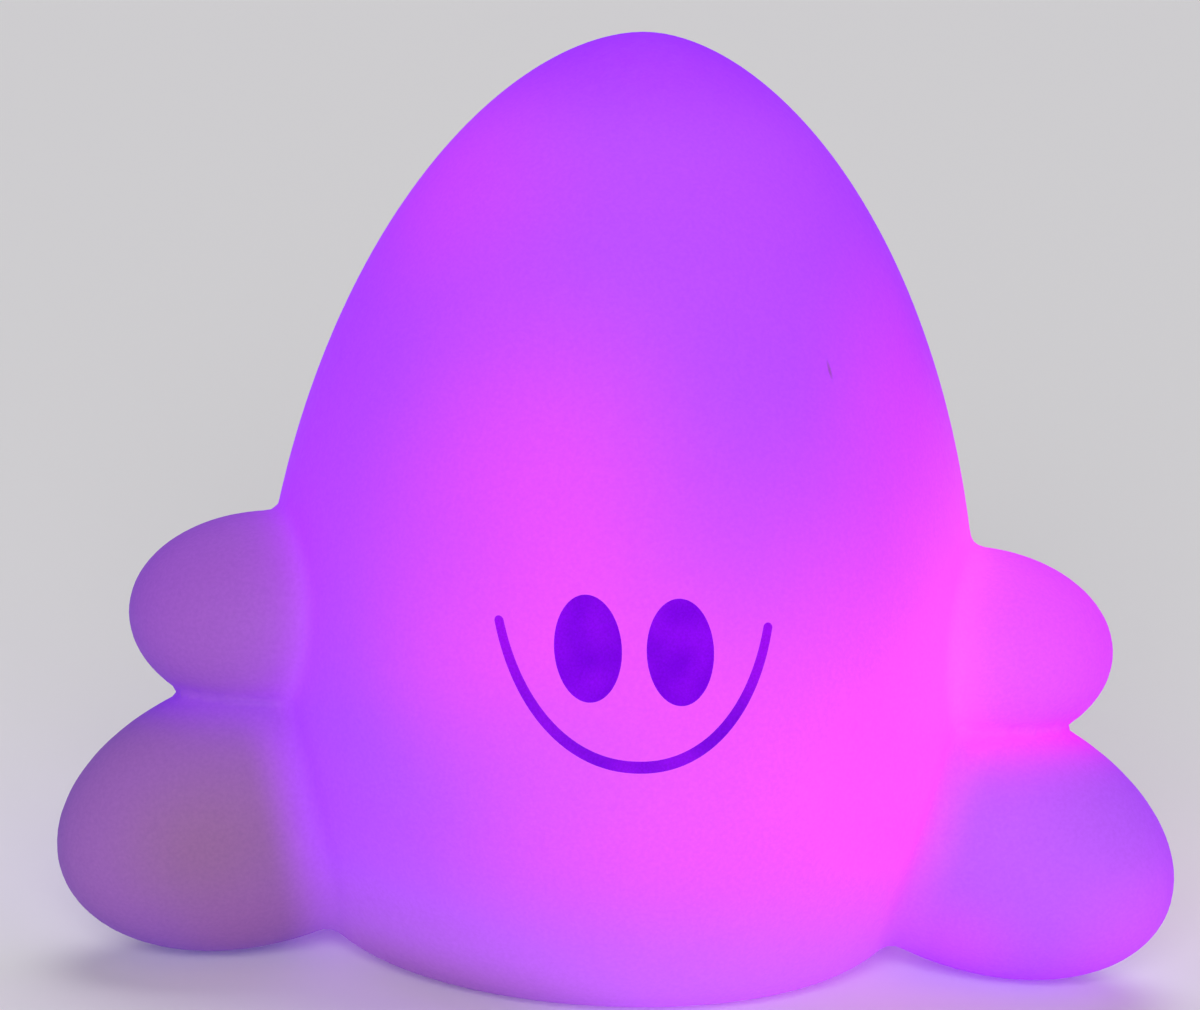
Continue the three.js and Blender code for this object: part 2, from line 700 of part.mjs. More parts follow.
// A conical spring along Z: straight for one wire at each end, then its turns.
function coneSpring() {
  const [stepsPerTurn, sides] = [8, 5];
  const steps = Math.round(springTurns * stepsPerTurn);
  const wireRadius = springWire / 2;
  const rise = springLength - 2 * springWire;
  const path = [];
  const place = (share, height) => {
    const angle = share * springTurns * 2 * Math.PI;
    const radius = springRadius + (springTip - springRadius) * share;
    path.push(new THREE.Vector3(radius * Math.cos(angle), radius * Math.sin(angle), height));
  };
  place(0, 0);
  for (let i = 0; i <= steps; i++) place(i / steps, springWire + (rise * i) / steps);
  place(1, springLength);
  const points = [];
  path.forEach((point, i) => {
    const before = path[Math.max(i - 1, 0)];
    const after = path[Math.min(i + 1, path.length - 1)];
    const tangent = after.clone().sub(before).normalize();
    const outwards = new THREE.Vector3(point.x, point.y, 0).normalize();
    outwards.addScaledVector(tangent, -outwards.dot(tangent)).normalize();
    const across = tangent.clone().cross(outwards);
    for (let side = 0; side < sides; side++) {
      const angle = (side * 2 * Math.PI) / sides;
      const ring = point.clone();
      ring.addScaledVector(outwards, wireRadius * Math.cos(angle));
      ring.addScaledVector(across, wireRadius * Math.sin(angle));
      points.push(ring.x, ring.y, ring.z);
    }
  });
  const faces = [];
  for (let side = 0; side < sides; side++) {
    const next = (side + 1) % sides;
    for (let ring = 0; ring + 1 < path.length; ring++) {
      const [a, b] = [ring * sides + side, ring * sides + next];
      faces.push(a, b, b + sides, a, b + sides, a + sides);
    }
    if (side > 1) {
      const last = (path.length - 1) * sides;
      faces.push(0, side, side - 1);
      faces.push(last, last + side - 1, last + side);
    }
  }
  const geometry = new THREE.BufferGeometry();
  geometry.setAttribute('position', new THREE.Float32BufferAttribute(points, 3));
  geometry.setIndex(faces);
  let least = Infinity;
  for (let i = 0; i < path.length; i++) {
    for (let k = i + stepsPerTurn / 2; k < path.length; k++) {
      least = Math.min(least, path[i].distanceTo(path[k]) - springWire);
    }
  }
  console.log(`contact_spring: least gap to itself ${least.toFixed(2)} mm`);
  return solidFrom(geometry);
}

function cellGroup() {
  const group = new THREE.Group();
  group.position.set(0, bayOffset, cellHeight);
  group.rotation.y = Math.PI / 2; // the group's Z now runs along the row, towards +X
  const contact = box(contactWidth, contactWidth, -contactThickness / 2, contactThickness / 2);
  group.add(piece('flat_contact', contact, steel(), 0, 0, contactX));
  group.add(piece('spring_contact', contact, steel(), 0, 0, -contactX));
  const rowEnd = contactX - contactThickness / 2 - fitGap;
  const cell = cellSolid();
  for (let i = 0; i < cellCount; i++) {
    const along = rowEnd - cellThickness / 2 - i * (cellThickness + fitGap);
    group.add(piece(`button_cell_${i + 1}`, cell, steel(), 0, 0, along));
  }
  const springStart = -contactX + contactThickness / 2 + fitGap;
  group.add(piece('contact_spring', coneSpring(), steel(), 0, 0, springStart));
  return group;
}

// The slide switch and its knob, drawn at the lit end of its travel

function switchGroup() {
  const group = new THREE.Group();
  group.position.set(0, -switchOffset, plateTop + fitGap);
  const track = box(
    knobLength + knobTravel + 2 * knobGap,
    knobWidth + 2 * knobGap,
    -overrun,
    switchHeight - switchRoof,
  );
  const body = cut(box(switchLength, switchWidth, 0, switchHeight), track);
  group.add(piece('switch_body', body, black()));
  const knobLow = knobSink - plateThickness - fitGap;
  const knobHigh = switchHeight - switchRoof - knobGap;
  const ribCount = 3;
  const ribPitch = knobLength / ribCount;
  const grooves = Array.from({ length: ribCount - 1 }, (_, i) => {
    const x = (i + 1 - ribCount / 2) * ribPitch;
    return box(ribPitch / 3, knobWidth * 2, knobLow - overrun, knobLow + ribPitch / 3, x);
  });
  const knob = cut(box(knobLength, knobWidth, knobLow, knobHigh), ...grooves);
  group.add(piece('switch_knob', knob, black(), knobTravel / 2));
  return group;
}

// The board with its lamps and parts, under a frosted cover

function lampSolid() {
  const straight = lampHeight - lampRadius;
  const domeSteps = 3;
  const dome = Array.from({ length: domeSteps }, (_, i) => {
    const angle = ((i + 1) / domeSteps) * (Math.PI / 2);
    return [Math.max(lampRadius * Math.cos(angle), 0), straight + lampRadius * Math.sin(angle)];
  });
  dome[domeSteps - 1][0] = 0;
  return turned(
    [
      [0, 0],
      [lampFlange, 0],
      [lampFlange, lampFlangeHeight],
      [lampRadius, lampFlangeHeight],
      [lampRadius, straight],
      ...dome,
    ],
    smallSegments,
  );
}

function boardGroup() {
  const group = new THREE.Group();
  group.position.z = boardBottom;
  const screwPlaces = around(boardRadius - boardScrewInset);
  const holes = screwPlaces.map(([x, y]) =>
    post(boardScrew.shankRadius + fitGap, -overrun, boardThickness + overrun, x, y),
  );
  const green = new THREE.MeshStandardMaterial({ color: 0x2c6b3f, roughness: 0.5 });
  const board = cut(post(boardRadius, 0, boardThickness, 0, 0, roundSegments), ...holes);
  group.add(piece('led_board', board, green));
  const seat = boardThickness + fitGap;
  const screw = screwSolid(boardScrew);
  screwPlaces.forEach(([x, y], i) => {
    const mesh = piece(`board_screw_${i + 1}`, screw, steel(), x, y, seat + boardScrew.headThickness);
    mesh.rotation.x = Math.PI;
    group.add(mesh);
  });
  const lamp = lampSolid();
  const lamps = [
    ['led_red', -20, 0xff5060],
    ['led_blue', 200, 0x5060ff],
    ['led_green', 90, 0x60ff70],
  ];
  lamps.forEach(([name, degrees, color], i) => {
    const angle = THREE.MathUtils.degToRad(degrees);
    const [dx, dy] = [Math.cos(angle), Math.sin(angle)];
    const clear = new THREE.MeshStandardMaterial({ color, roughness: 0.2 });
    group.add(piece(name, lamp, clear, lampCircle * dx, lampCircle * dy, seat));
    const resistorBox = box(resistor.length, resistor.width, 0, resistor.height);
    const side = Math.PI / fastenerCount;
    const [rx, ry] = [Math.cos(angle + side), Math.sin(angle + side)];
    group.add(
      piece(`resistor_${i + 1}`, resistorBox, black(), resistorCircle * rx, resistorCircle * ry, seat),
    );
  });
  group.add(piece('controller_chip', box(chip.length, chip.width, 0, chip.height), black(), 0, 0, seat));
  const can = turned(
    [
      [0, 0],
      [capacitor.radius, 0],
      [capacitor.radius, capacitor.height - capacitor.edge],
      [capacitor.radius - capacitor.edge, capacitor.height],
      [0, capacitor.height],
    ],
    smallSegments,
  );
  const diagonal = Math.SQRT1_2 * capacitorCircle;
  group.add(piece('filter_capacitor', can, steel(), diagonal, diagonal, seat));
  return group;
}

function lampCover() {
  const [outerSteps, innerSteps] = [6, 4];
  const shoulder = coverBottom + coverSkirt;
  const arc = (radius, rise, steps) => Array.from({ length: steps }, (_, i) => {
    const angle = (i / steps) * (Math.PI / 2);
    return [radius * Math.cos(angle), shoulder + rise * Math.sin(angle)];
  });
  const inner = arc(coverRadius - coverWall, coverRise - coverWall, innerSteps).reverse();
  return turned([
    [0, shoulder + coverRise - coverWall],
    ...inner,
    [coverRadius - coverWall, coverBottom],
    [coverRadius, coverBottom],
    ...arc(coverRadius, coverRise, outerSteps),
    [0, shoulder + coverRise],
  ]);
}

// The three leads: cells to board, cells to switch and switch to board

function leadSolid(route) {
  const curve = new THREE.CatmullRomCurve3(route.map((p) => new THREE.Vector3(...p)), false, 'centripetal');
  const section = new THREE.Shape();
  section.absarc(0, 0, leadRadius, 0, Math.PI * 2);
  const stepLength = 5 * leadRadius;
  const steps = Math.ceil(curve.getLength() / stepLength);
  const options = { extrudePath: curve, steps, curveSegments: 4, bevelEnabled: false };
  return solidFrom(new THREE.ExtrudeGeometry(section, options));
}

function leadGroup() {
  const group = new THREE.Group();
  const contactSide = bayOffset - contactWidth / 2 - fitGap;
  const baySide = bayOffset - bayWidth / 2 - bayWall - leadStraight;
  const switchLead = switchLength / 4;
  const switchEnd = switchTop + fitGap;
  const boardEnd = boardBottom - fitGap;
  const turnHeight = (cellHeight + deckBottom) / 2;
  const midway = (baySide - leadHoleOffset) / 2;
  const red = [
    [-leadX, contactSide, cellHeight],
    [-leadX, baySide, cellHeight],
    [-leadX / 2, midway, turnHeight],
    [-leadSpread, -leadHoleOffset, deckBottom],
    [-leadSpread, -leadHoleOffset, boardEnd - leadStraight],
    [-leadSpread, -leadHoleOffset, boardEnd],
  ];
  const dark = [
    [leadX, contactSide, cellHeight],
    [leadX, baySide, cellHeight],
    [leadX * 0.6, midway, turnHeight],
    [switchLead, -switchOffset, switchEnd + leadStraight * 2],
    [switchLead, -switchOffset, switchEnd + leadStraight],
    [switchLead, -switchOffset, switchEnd],
  ];
  const pale = [
    [-switchLead, -switchOffset, switchEnd],
    [-switchLead, -switchOffset, switchEnd + leadStraight],
    [0, -(switchOffset + leadHoleOffset) / 2, (switchEnd + deckBottom) / 2],
    [leadSpread, -leadHoleOffset, deckBottom],
    [leadSpread, -leadHoleOffset, boardEnd - leadStraight],
    [leadSpread, -leadHoleOffset, boardEnd],
  ];
  const sleeve = (color) => new THREE.MeshStandardMaterial({ color, roughness: 0.6 });
  group.add(piece('lead_red', leadSolid(red), sleeve(0xc22020)));
  group.add(piece('lead_black', leadSolid(dark), sleeve(0x202020)));
  group.add(piece('lead_white', leadSolid(pale), sleeve(0xe8e8e8)));
  return group;
}

const ghost = new THREE.Group();
const frosted = new THREE.MeshStandardMaterial({ color: 0xf4f4f6, roughness: 0.7 });
ghost.add(skinGroup());
ghost.add(baseGroup());
ghost.add(doorGroup());
ghost.add(cellGroup());
ghost.add(switchGroup());
ghost.add(boardGroup());
ghost.add(piece('led_cover', lampCover(), frosted));
ghost.add(leadGroup());

export default ghost;
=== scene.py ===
import math

import bpy
import numpy as np
from mathutils import Matrix, Vector


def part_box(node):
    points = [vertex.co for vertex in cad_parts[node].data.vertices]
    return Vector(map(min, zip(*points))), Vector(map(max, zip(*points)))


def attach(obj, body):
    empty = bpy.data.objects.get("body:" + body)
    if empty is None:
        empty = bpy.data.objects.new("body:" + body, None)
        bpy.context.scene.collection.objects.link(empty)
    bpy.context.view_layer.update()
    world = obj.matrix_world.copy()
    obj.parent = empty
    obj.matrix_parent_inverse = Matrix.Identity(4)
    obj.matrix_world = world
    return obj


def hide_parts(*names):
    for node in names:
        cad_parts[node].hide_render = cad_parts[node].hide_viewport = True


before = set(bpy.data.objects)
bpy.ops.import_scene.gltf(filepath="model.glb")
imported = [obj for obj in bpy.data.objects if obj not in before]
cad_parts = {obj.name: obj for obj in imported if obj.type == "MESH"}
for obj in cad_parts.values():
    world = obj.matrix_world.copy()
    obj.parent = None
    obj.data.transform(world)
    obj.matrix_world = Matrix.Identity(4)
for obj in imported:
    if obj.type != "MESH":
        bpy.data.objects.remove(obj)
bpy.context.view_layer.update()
scene = bpy.context.scene
mm = 0.001  # sizes below are in millimetres, the scene is in metres


# Meshes from whole arrays of points


def newObject(name, data):
    made = bpy.data.objects.new(name, data)
    scene.collection.objects.link(made)
    return made


# A mesh from points in millimetres and faces; a face with a repeated corner loses it.
def meshObject(name, points, faces, smooth=True):
    mesh = bpy.data.meshes.new(name)
    mesh.from_pydata(points * mm, [], [list(dict.fromkeys(f)) for f in faces.tolist()])
    mesh.polygons.foreach_set("use_smooth", np.full(len(mesh.polygons), smooth))
    mesh.update()
    return newObject(name, mesh)


# Quads over rings of points with one point before and one after them, so both ends are closed.
def ringFaces(rings, columns):
    i, j = np.meshgrid(np.arange(rings + 1), np.arange(columns), indexing="ij")
    k = (j + 1) % columns
    below, above = i * columns, (i + 1) * columns
    quads = np.stack([below + j, below + k, above + k, above + j], -1).reshape(-1, 4)
    return np.clip(quads - columns + 1, 0, 1 + rings * columns)


# Rings of points (rings x columns x 3) and a point before and after them, as a closed mesh that faces out.
def ringObject(name, start, rings, end):
    points = np.concatenate([np.reshape(start, (1, 3)), rings.reshape(-1, 3), np.reshape(end, (1, 3))])
    quads = ringFaces(len(rings), rings.shape[1])
    a, b, c, d = (points[quads[:, k]] - points.mean(0) for k in range(4))
    volume = np.sum(np.cross(a, b) * c) + np.sum(np.cross(a, c) * d)
    return meshObject(name, points, quads if volume > 0 else quads[:, ::-1])


def fullTurn(count):
    return np.linspace(0, 2 * math.pi, count, endpoint=False)


def unit(vectors):
    return vectors / np.linalg.norm(vectors, axis=1, keepdims=True)


# 0 up to start and 1 from end on, with an S-shaped step between.
def easeStep(values, start, end):
    t = np.clip((values - start) / (end - start), 0, 1)
    return t * t * (3 - 2 * t)


# 1 at 0, falling off as exp(-(value/width)^2).
def bell(values, width):
    return np.exp(-((values / width) ** 2))


# A value for each point of a mesh, which its material reads by name.
def addShare(made, name, values):
    layer = made.data.attributes.new(name, "FLOAT", "POINT")
    layer.data.foreach_set("value", values.astype(np.float32))


# Camera, floor and light

cameraPlace = {
    "azimuth": -0.056,  # radians round the figure, 0 looks along +Y
    "elevation": 0.205,
    "roll": 0.049,
    "distance": 600,
    "aimAcross": -3.291,
    "aimHeight": 58.13,
    "lens": 137.97,
    "sensor": 36,
    "clip": (0.01, 20),  # in metres
}


# At its distance from the aim point, turned by azimuth and elevation and rolled about its line of sight.
def makeCamera():
    c = cameraPlace
    a, e, r = c["azimuth"], c["elevation"], c["roll"]
    back = np.array([math.sin(a) * math.cos(e), -math.cos(a) * math.cos(e), math.sin(e)])
    right = np.array([math.cos(a), math.sin(a), 0.0])
    up = np.cross(back, right)
    turn = np.eye(4)
    turn[:3, 0] = right * math.cos(r) + up * math.sin(r)
    turn[:3, 1] = up * math.cos(r) - right * math.sin(r)
    turn[:3, 2] = back
    turn[:3, 3] = (np.array([c["aimAcross"], 0, c["aimHeight"]]) + back * c["distance"]) * mm
    data = bpy.data.cameras.new("viewCamera")
    data.sensor_width, data.lens = c["sensor"], c["lens"]
    data.clip_start, data.clip_end = c["clip"]
    camera = newObject("viewCamera", data)
    camera.matrix_world = Matrix(turn.tolist())
    scene.camera = camera


studio = {
    "worldColour": (0.86, 0.86, 0.9),
    "worldStrength": 0.2,
    "floorColour": (0.84, 0.83, 0.84),
    "floorRadius": 5.0,  # in metres
    "floorSides": 96,
    "floorRoughness": 0.85,
    "floorSpecular": 0.15,
    "lights": [  # name, where it comes from, width in degrees, strength, colour
        ("frontLight", (-0.08, -0.95, 0.32), 34, 2.6, (1.0, 0.99, 0.98)),
        ("topLight", (0.06, 0.42, 0.9), 48, 1.1, (0.98, 0.98, 1.0)),
    ],
}


# A pale even world, a round floor and two wide suns.
def makeStudio():
    s = studio
    world = bpy.data.worlds.new("studioWorld")
    world.use_nodes = True
    background = world.node_tree.nodes["Background"]
    setSockets(background, {"Color": s["worldColour"], "Strength": s["worldStrength"]})
    scene.world = world
    angles = fullTurn(s["floorSides"])
    rim = s["floorRadius"] / mm * np.stack([np.cos(angles), np.sin(angles), 0 * angles], 1)
    floorObject = meshObject("floor", rim, np.arange(len(rim))[None, :], smooth=False)
    paint = bpy.data.materials.new("floorPaint")
    paint.use_nodes = True
    gloss = {"Roughness": s["floorRoughness"], "Specular IOR Level": s["floorSpecular"]}
    dress(painted(paint, {"Base Color": s["floorColour"], **gloss}), floorObject)
    for name, source, width, strength, colour in s["lights"]:
        data = bpy.data.lights.new(name, "SUN")
        data.angle, data.energy, data.color = math.radians(width), strength, colour
        light = newObject(name, data)
        light.location = source
        light.rotation_euler = Vector(source).to_track_quat("Z", "Y").to_euler()
    scene.view_settings.view_transform = "Standard"


# The figure's formulas

figure = {
    "height": 120,
    "bodyRadius": 47.3,  # widest ring of the egg
    "bellyHeight": 31,  # its height
    "eggDepth": 48.8,  # the egg would close this far below its widest ring
    "eggPower": 1.775,
    "crownSoftness": 3,
    "baseRounding": 5,
    "wall": 2.5,
    "limbFillet": 1.8,  # blend of a limb into the body
    "pairFillet": 0.9,  # blend of an arm into the foot below it
    "edgeSoftness": 0.6,  # rounding of the mouth underneath
    "lipBottom": 2.2,
    "lipTop": 4.2,
    "neckRadius": 22.98,  # inside of the lip
    "recessRadius": 25.58,  # the base plate sits in it
}
leftArm = {"reach": 44.8, "height": 43.8, "axes": (19.7, 15.3, 13.4), "splay": 10.3, "droop": -2.3}
rightArm = {**leftArm, "height": 42.5}
leftFoot = {"reach": 47.15, "height": 19.4, "axes": (27.3, 15.2, 17.8), "splay": 15.2, "droop": 15.3}
rightFoot = {**leftFoot, "reach": 47.65, "axes": (27.8, 15.2, 17.8), "droop": 17}


# The smaller of two distances, rounded off where they are within size of each other.
def softMin(a, b, size):
    near = np.maximum(size - np.abs(a - b), 0) / size
    return np.minimum(a, b) - near * near * size / 4


def softMax(a, b, size):
    return -softMin(-a, -b, size)


# A height from the widest ring as a share of that half of the egg, and that half's length.
def eggShare(height):
    f = figure
    half = np.where(height > f["bellyHeight"], f["height"] - f["bellyHeight"], f["eggDepth"])
    return (height - f["bellyHeight"]) / half, half


# (r/R)^p + t^2 - 1 over its slope, t being the height's share.
def eggDistance(radius, height):
    size, soft, power = (figure[k] for k in ("bodyRadius", "crownSoftness", "eggPower"))
    t, half = eggShare(height)
    softened = (radius**2 + soft**2) / size**2
    value = softened ** (power / 2) - (soft / size) ** power + t * t - 1
    out = power * radius * softened ** (power / 2 - 1) / size**2
    return value / np.maximum(np.hypot(out, 2 * t / half), 1e-4)


# The egg's radius at a height, from the same formula turned round.
def eggRadius(height):
    size, soft, power = (figure[k] for k in ("bodyRadius", "crownSoftness", "eggPower"))
    t, _ = eggShare(height)
    squared = size**2 * np.maximum(1 - t * t + (soft / size) ** power, 0) ** (2 / power)
    return np.sqrt(np.maximum(squared - soft**2, 0))


# Distance to a limb's ellipsoid on the +X side: its points turned into the limb's own axes first.
def limbDistance(x, y, z, limb):
    s, d = math.radians(-limb["splay"]), math.radians(limb["droop"])
    along = x * math.cos(s) + y * math.sin(s) - limb["reach"]
    depth = y * math.cos(s) - x * math.sin(s)
    rise = z - limb["height"]
    along, rise = along * math.cos(d) - rise * math.sin(d), along * math.sin(d) + rise * math.cos(d)
    a, b, c = limb["axes"]
    length = np.sqrt((along / a) ** 2 + (depth / b) ** 2 + (rise / c) ** 2)
    slope = np.sqrt((along / a**2) ** 2 + (depth / b**2) ** 2 + (rise / c**2) ** 2)
    return (length - 1) * length / np.maximum(slope, 1e-4)


def bodyDistance(x, y, z):
    return softMax(eggDistance(np.hypot(x, y), z), -z, figure["baseRounding"])


# Distances to the arm and to the foot on the same side as each point.
def armAndFoot(x, y, z):
    side, away = np.abs(x), []
    for left, right in ((leftArm, rightArm), (leftFoot, rightFoot)):
        away.append(np.where(x > 0, limbDistance(side, y, z, right), limbDistance(side, y, z, left)))
    return away


def limbsDistance(x, y, z):
    return softMin(*armAndFoot(x, y, z), figure["pairFillet"])


# Body and limbs together, the limbs filleted into the body and into each other.
def figureDistance(x, y, z):
    return softMin(bodyDistance(x, y, z), limbsDistance(x, y, z), figure["limbFillet"])


# The outside less the hollow one wall in, less the neck and the base plate's recess.
def skinDistance(x, y, z):
    f, soft = figure, figure["edgeSoftness"]
    outside, radius = figureDistance(x, y, z), np.hypot(x, y)
    hollow = softMax(outside + f["wall"], f["lipTop"] - z, soft)
    neck = softMax(radius - f["neckRadius"], z - f["lipTop"] - f["wall"], soft)
    recess = softMax(radius - f["recessRadius"], z - f["lipBottom"], soft)
    return softMax(outside, -softMin(softMin(hollow, neck, soft), recess, soft), soft)


# The distance's slope along each axis, from points a small step to each side.
def slopeOf(distance, points, step=0.02):
    slope = np.empty_like(points)
    for axis in range(3):
        shift = np.zeros(3)
        shift[axis] = step
        ahead, behind = (points + shift).T, (points - shift).T
        slope[:, axis] = (distance(*ahead) - distance(*behind)) / (2 * step)
    return slope


# Slides points along the slope until they lie on the surface, at most reach each time.
def settle(distance, points, rounds, reach):
    for _ in range(rounds):
        slope = slopeOf(distance, points)
        steepness = np.maximum(np.sum(slope * slope, 1), 0.05)
        move = slope * (distance(*points.T) / steepness)[:, None]
        length = np.linalg.norm(move, axis=1, keepdims=True)
        points = points - move * np.minimum(1, reach / np.maximum(length, 1e-9))
    return points


# Grid lines from low to high, close together between fineLow and fineHigh.
def stops(low, high, fineLow, fineHigh, fine, coarse):
    parts = [(low, fineLow, coarse), (fineLow, fineHigh, fine), (fineHigh, high, coarse)]
    lines = [np.linspace(a, b, max(math.ceil((b - a) / step), 1), endpoint=False) for a, b, step in parts]
    return np.concatenate([*lines, [high]])


# Where a grid face's corners are inside and outside by turns, two sheets would share an edge, so the corner
# nearest the surface changes sides.
def untangled(values):
    for axis in range(3):
        u, v = (axis + 1) % 3, (axis + 2) % 3
        steps = np.zeros((4, 3), int)
        steps[1:3, u], steps[2:, v] = 1, 1
        size = [n - (k != axis) for k, n in enumerate(values.shape)]
        inside = [values[tuple(slice(a, a + n) for a, n in zip(step, size))] < 0 for step in steps]
        crossed = (inside[0] == inside[2]) & (inside[1] == inside[3]) & (inside[0] != inside[1])
        corners = np.argwhere(crossed)[:, None] + steps
        nearest = np.abs(values[tuple(np.moveaxis(corners, -1, 0))]).argmin(1)
        chosen = tuple(corners[np.arange(len(corners)), nearest].T)
        values[chosen] = -0.001 * np.sign(values[chosen])
    return values


# Closed quads round distance 0: one point in each grid cell that the surface crosses, the mean of
# where it crosses the cell's edges, and one quad over each crossed edge, all as whole arrays.
def netSurface(distance, xs, ys, zs):
    lines = (xs, ys, zs)
    values = untangled(distance(*np.meshgrid(xs, ys, zs, indexing="ij")))
    inside = values < 0
    cells = tuple(n - 1 for n in values.shape)
    total, count = np.zeros((*cells, 3)), np.zeros(cells)
    crossings = []
    for axis in range(3):
        behind = tuple(slice(0, -1) if k == axis else slice(None) for k in range(3))
        ahead = tuple(slice(1, None) if k == axis else slice(None) for k in range(3))
        crossed = inside[behind] != inside[ahead]
        index = np.argwhere(crossed)
        share = (values[behind] / np.where(crossed, values[behind] - values[ahead], 1))[crossed]
        place = np.stack([lines[k][index[:, k]] for k in range(3)], 1)
        place[:, axis] += share * np.diff(lines[axis])[index[:, axis]]
        around = []  # the four cells round each crossed edge, in turn
        for back in ((0, 0), (1, 0), (1, 1), (0, 1)):
            cell = index.copy()
            cell[:, [(axis + 1) % 3, (axis + 2) % 3]] -= back
            around.append(tuple(cell.T))
            np.add.at(total, around[-1], place)
            np.add.at(count, around[-1], 1)
        crossings.append((around, inside[behind][crossed]))
    used = count > 0
    number = np.full(cells, -1)
    number[used] = np.arange(used.sum())
    points = total[used] / count[used][:, None]
    quads = []
    for around, outward in crossings:
        ring = np.stack([number[cell] for cell in around], 1)
        quads.append(np.where(outward[:, None], ring, ring[:, ::-1]))
    return points, np.concatenate(quads)


# Moves each point towards the mean of its neighbours, then back onto the surface.
def evened(distance, points, quads, rounds, reach):
    ends = np.concatenate([quads[:, [k, (k + 1) % 4]] for k in range(4)])
    near = np.bincount(ends.ravel(), minlength=len(points))[:, None]
    for _ in range(rounds):
        total = np.zeros_like(points)
        for axis in range(3):
            total[:, axis] = np.bincount(ends[:, 0], points[ends[:, 1], axis], len(points))
            total[:, axis] += np.bincount(ends[:, 1], points[ends[:, 0], axis], len(points))
        points = settle(distance, points + 0.5 * (total / near - points), 1, reach)
    return points


skinGrid = {
    "across": 74,  # to each side
    "depth": (-49, 49),
    "rise": (-1.3, 121.5),
    "fine": 0.98,
    "coarse": 1.42,
    "limbs": (30, 57),  # the grid is fine where the creases are
    "creases": (20, 56),
    "settleFirst": (2, 0.5),  # rounds, and the longest move in each
    "evening": (4, 0.5),
    "settleLast": (3, 0.4),
}
limbGlow = {
    "pairEdge": 1.2,  # half width of the change from arm to foot
    "armFade": 3,  # how far out the body's light reaches into an arm
    "leftFade": (-0.5, 7),  # and how far past the border it fades out in a foot
    "rightFade": (-4, 6),
    "creaseFade": (-1, 3),
    "creaseShift": 0.8,  # the crease's light lies a little below the crease
    "creaseAbove": 2.6,  # and reaches less far up than down
    "creaseBelow": 4.8,
    "foldWidths": (1.1, 2.2),  # half widths of the shade in the crease and along a foot's border
    "foldFade": (0, 2),
    "foldReach": 3,
}


# Surface of skinDistance = 0, with each point's shares of limb, foot, crease and fold.
def makeSkin():
    g, s = skinGrid, limbGlow
    outer = stops(0, g["across"], *g["limbs"], g["fine"], g["coarse"])
    xs = np.concatenate([-outer[:0:-1], outer])
    ys = np.linspace(*g["depth"], int((g["depth"][1] - g["depth"][0]) / g["coarse"]) + 1)
    zs = stops(*g["rise"], *g["creases"], g["fine"], g["coarse"])
    points, quads = netSurface(skinDistance, xs, ys, zs)
    points = settle(skinDistance, points, *g["settleFirst"])
    points = evened(skinDistance, points, quads, *g["evening"])
    points = settle(skinDistance, points, *g["settleLast"])
    made = meshObject("silicone_skin", points, quads)
    x, y, z = points.T
    out = bodyDistance(x, y, z)
    armAway, footAway = armAndFoot(x, y, z)
    pair = armAway - footAway
    past = out - np.maximum(footAway, 0)
    footShare = 1 / (1 + np.exp(-pair / s["pairEdge"]))
    footOut = np.where(x > 0, easeStep(past, *s["rightFade"]), easeStep(past, *s["leftFade"]))
    armOut = 1 - np.exp(-np.maximum(out, 0) / s["armFade"])
    shifted = pair - s["creaseShift"]
    crest = bell(shifted, np.where(shifted > 0, s["creaseBelow"], s["creaseAbove"]))
    inCrease = bell(pair, s["foldWidths"][0]) * easeStep(out, *s["foldFade"])
    atBorder = bell(past, s["foldWidths"][1]) * footShare * (out + footAway < s["foldReach"])
    addShare(made, "footShare", footShare)
    addShare(made, "limbShare", armOut * (1 - footShare) + footOut * footShare)
    addShare(made, "creaseShare", crest * easeStep(out, *s["creaseFade"]))
    addShare(made, "foldShare", np.maximum(inCrease, atBorder))
    print("skin:", len(points), "points,", 2 * len(quads), "triangles")
    return made


# The face, printed on the skin

face = {
    "shift": -0.85,  # the face sits a little off the middle
    "lean": 0.06,  # and leans a little
    "proud": 0.05,  # ink above the skin
    "depth": 0.2,  # and into it
    "edge": 12,  # the higher, the flatter the ink out to its edge
}
eye = {"height": 49.8, "spacing": 11.3, "width": 8.3, "tall": 13, "rings": 41, "columns": 96}
smileLine = {
    "bottom": 35.6,
    "rise": 16.6,
    "halfWidth": 17.5,
    "halfHeight": 24.7,
    "power": 2.12,
    "stroke": 1.5,
    "taper": 0.2,  # share of the stroke lost towards each end
    "longer": 0.02,  # radians more on the right
    "endLevel": 0.3,  # share of the ink's height that is left at the ends
    "steps": 141,
    "endSteps": 9,
    "sides": 24,
}


# A point on the egg's front: across is the length round it, level the height above the skin.
def facePoint(across, height, level, step=0.01):
    radius = eggRadius(height)
    slope = (eggRadius(height + step) - eggRadius(height - step)) / (2 * step)
    turn = (face["shift"] + across - face["lean"] * (height - eye["height"])) / radius
    length = np.hypot(1, slope)
    out = radius + level / length
    return np.stack([out * np.sin(turn), -out * np.cos(turn), height - level * slope / length], -1)


# Level of the ink over its own half width: flat on top, down to the skin at the edge, flat beneath.
def inkLevel(share, above):
    return np.where(above, face["proud"], -face["depth"]) * (1 - np.abs(share) ** face["edge"])


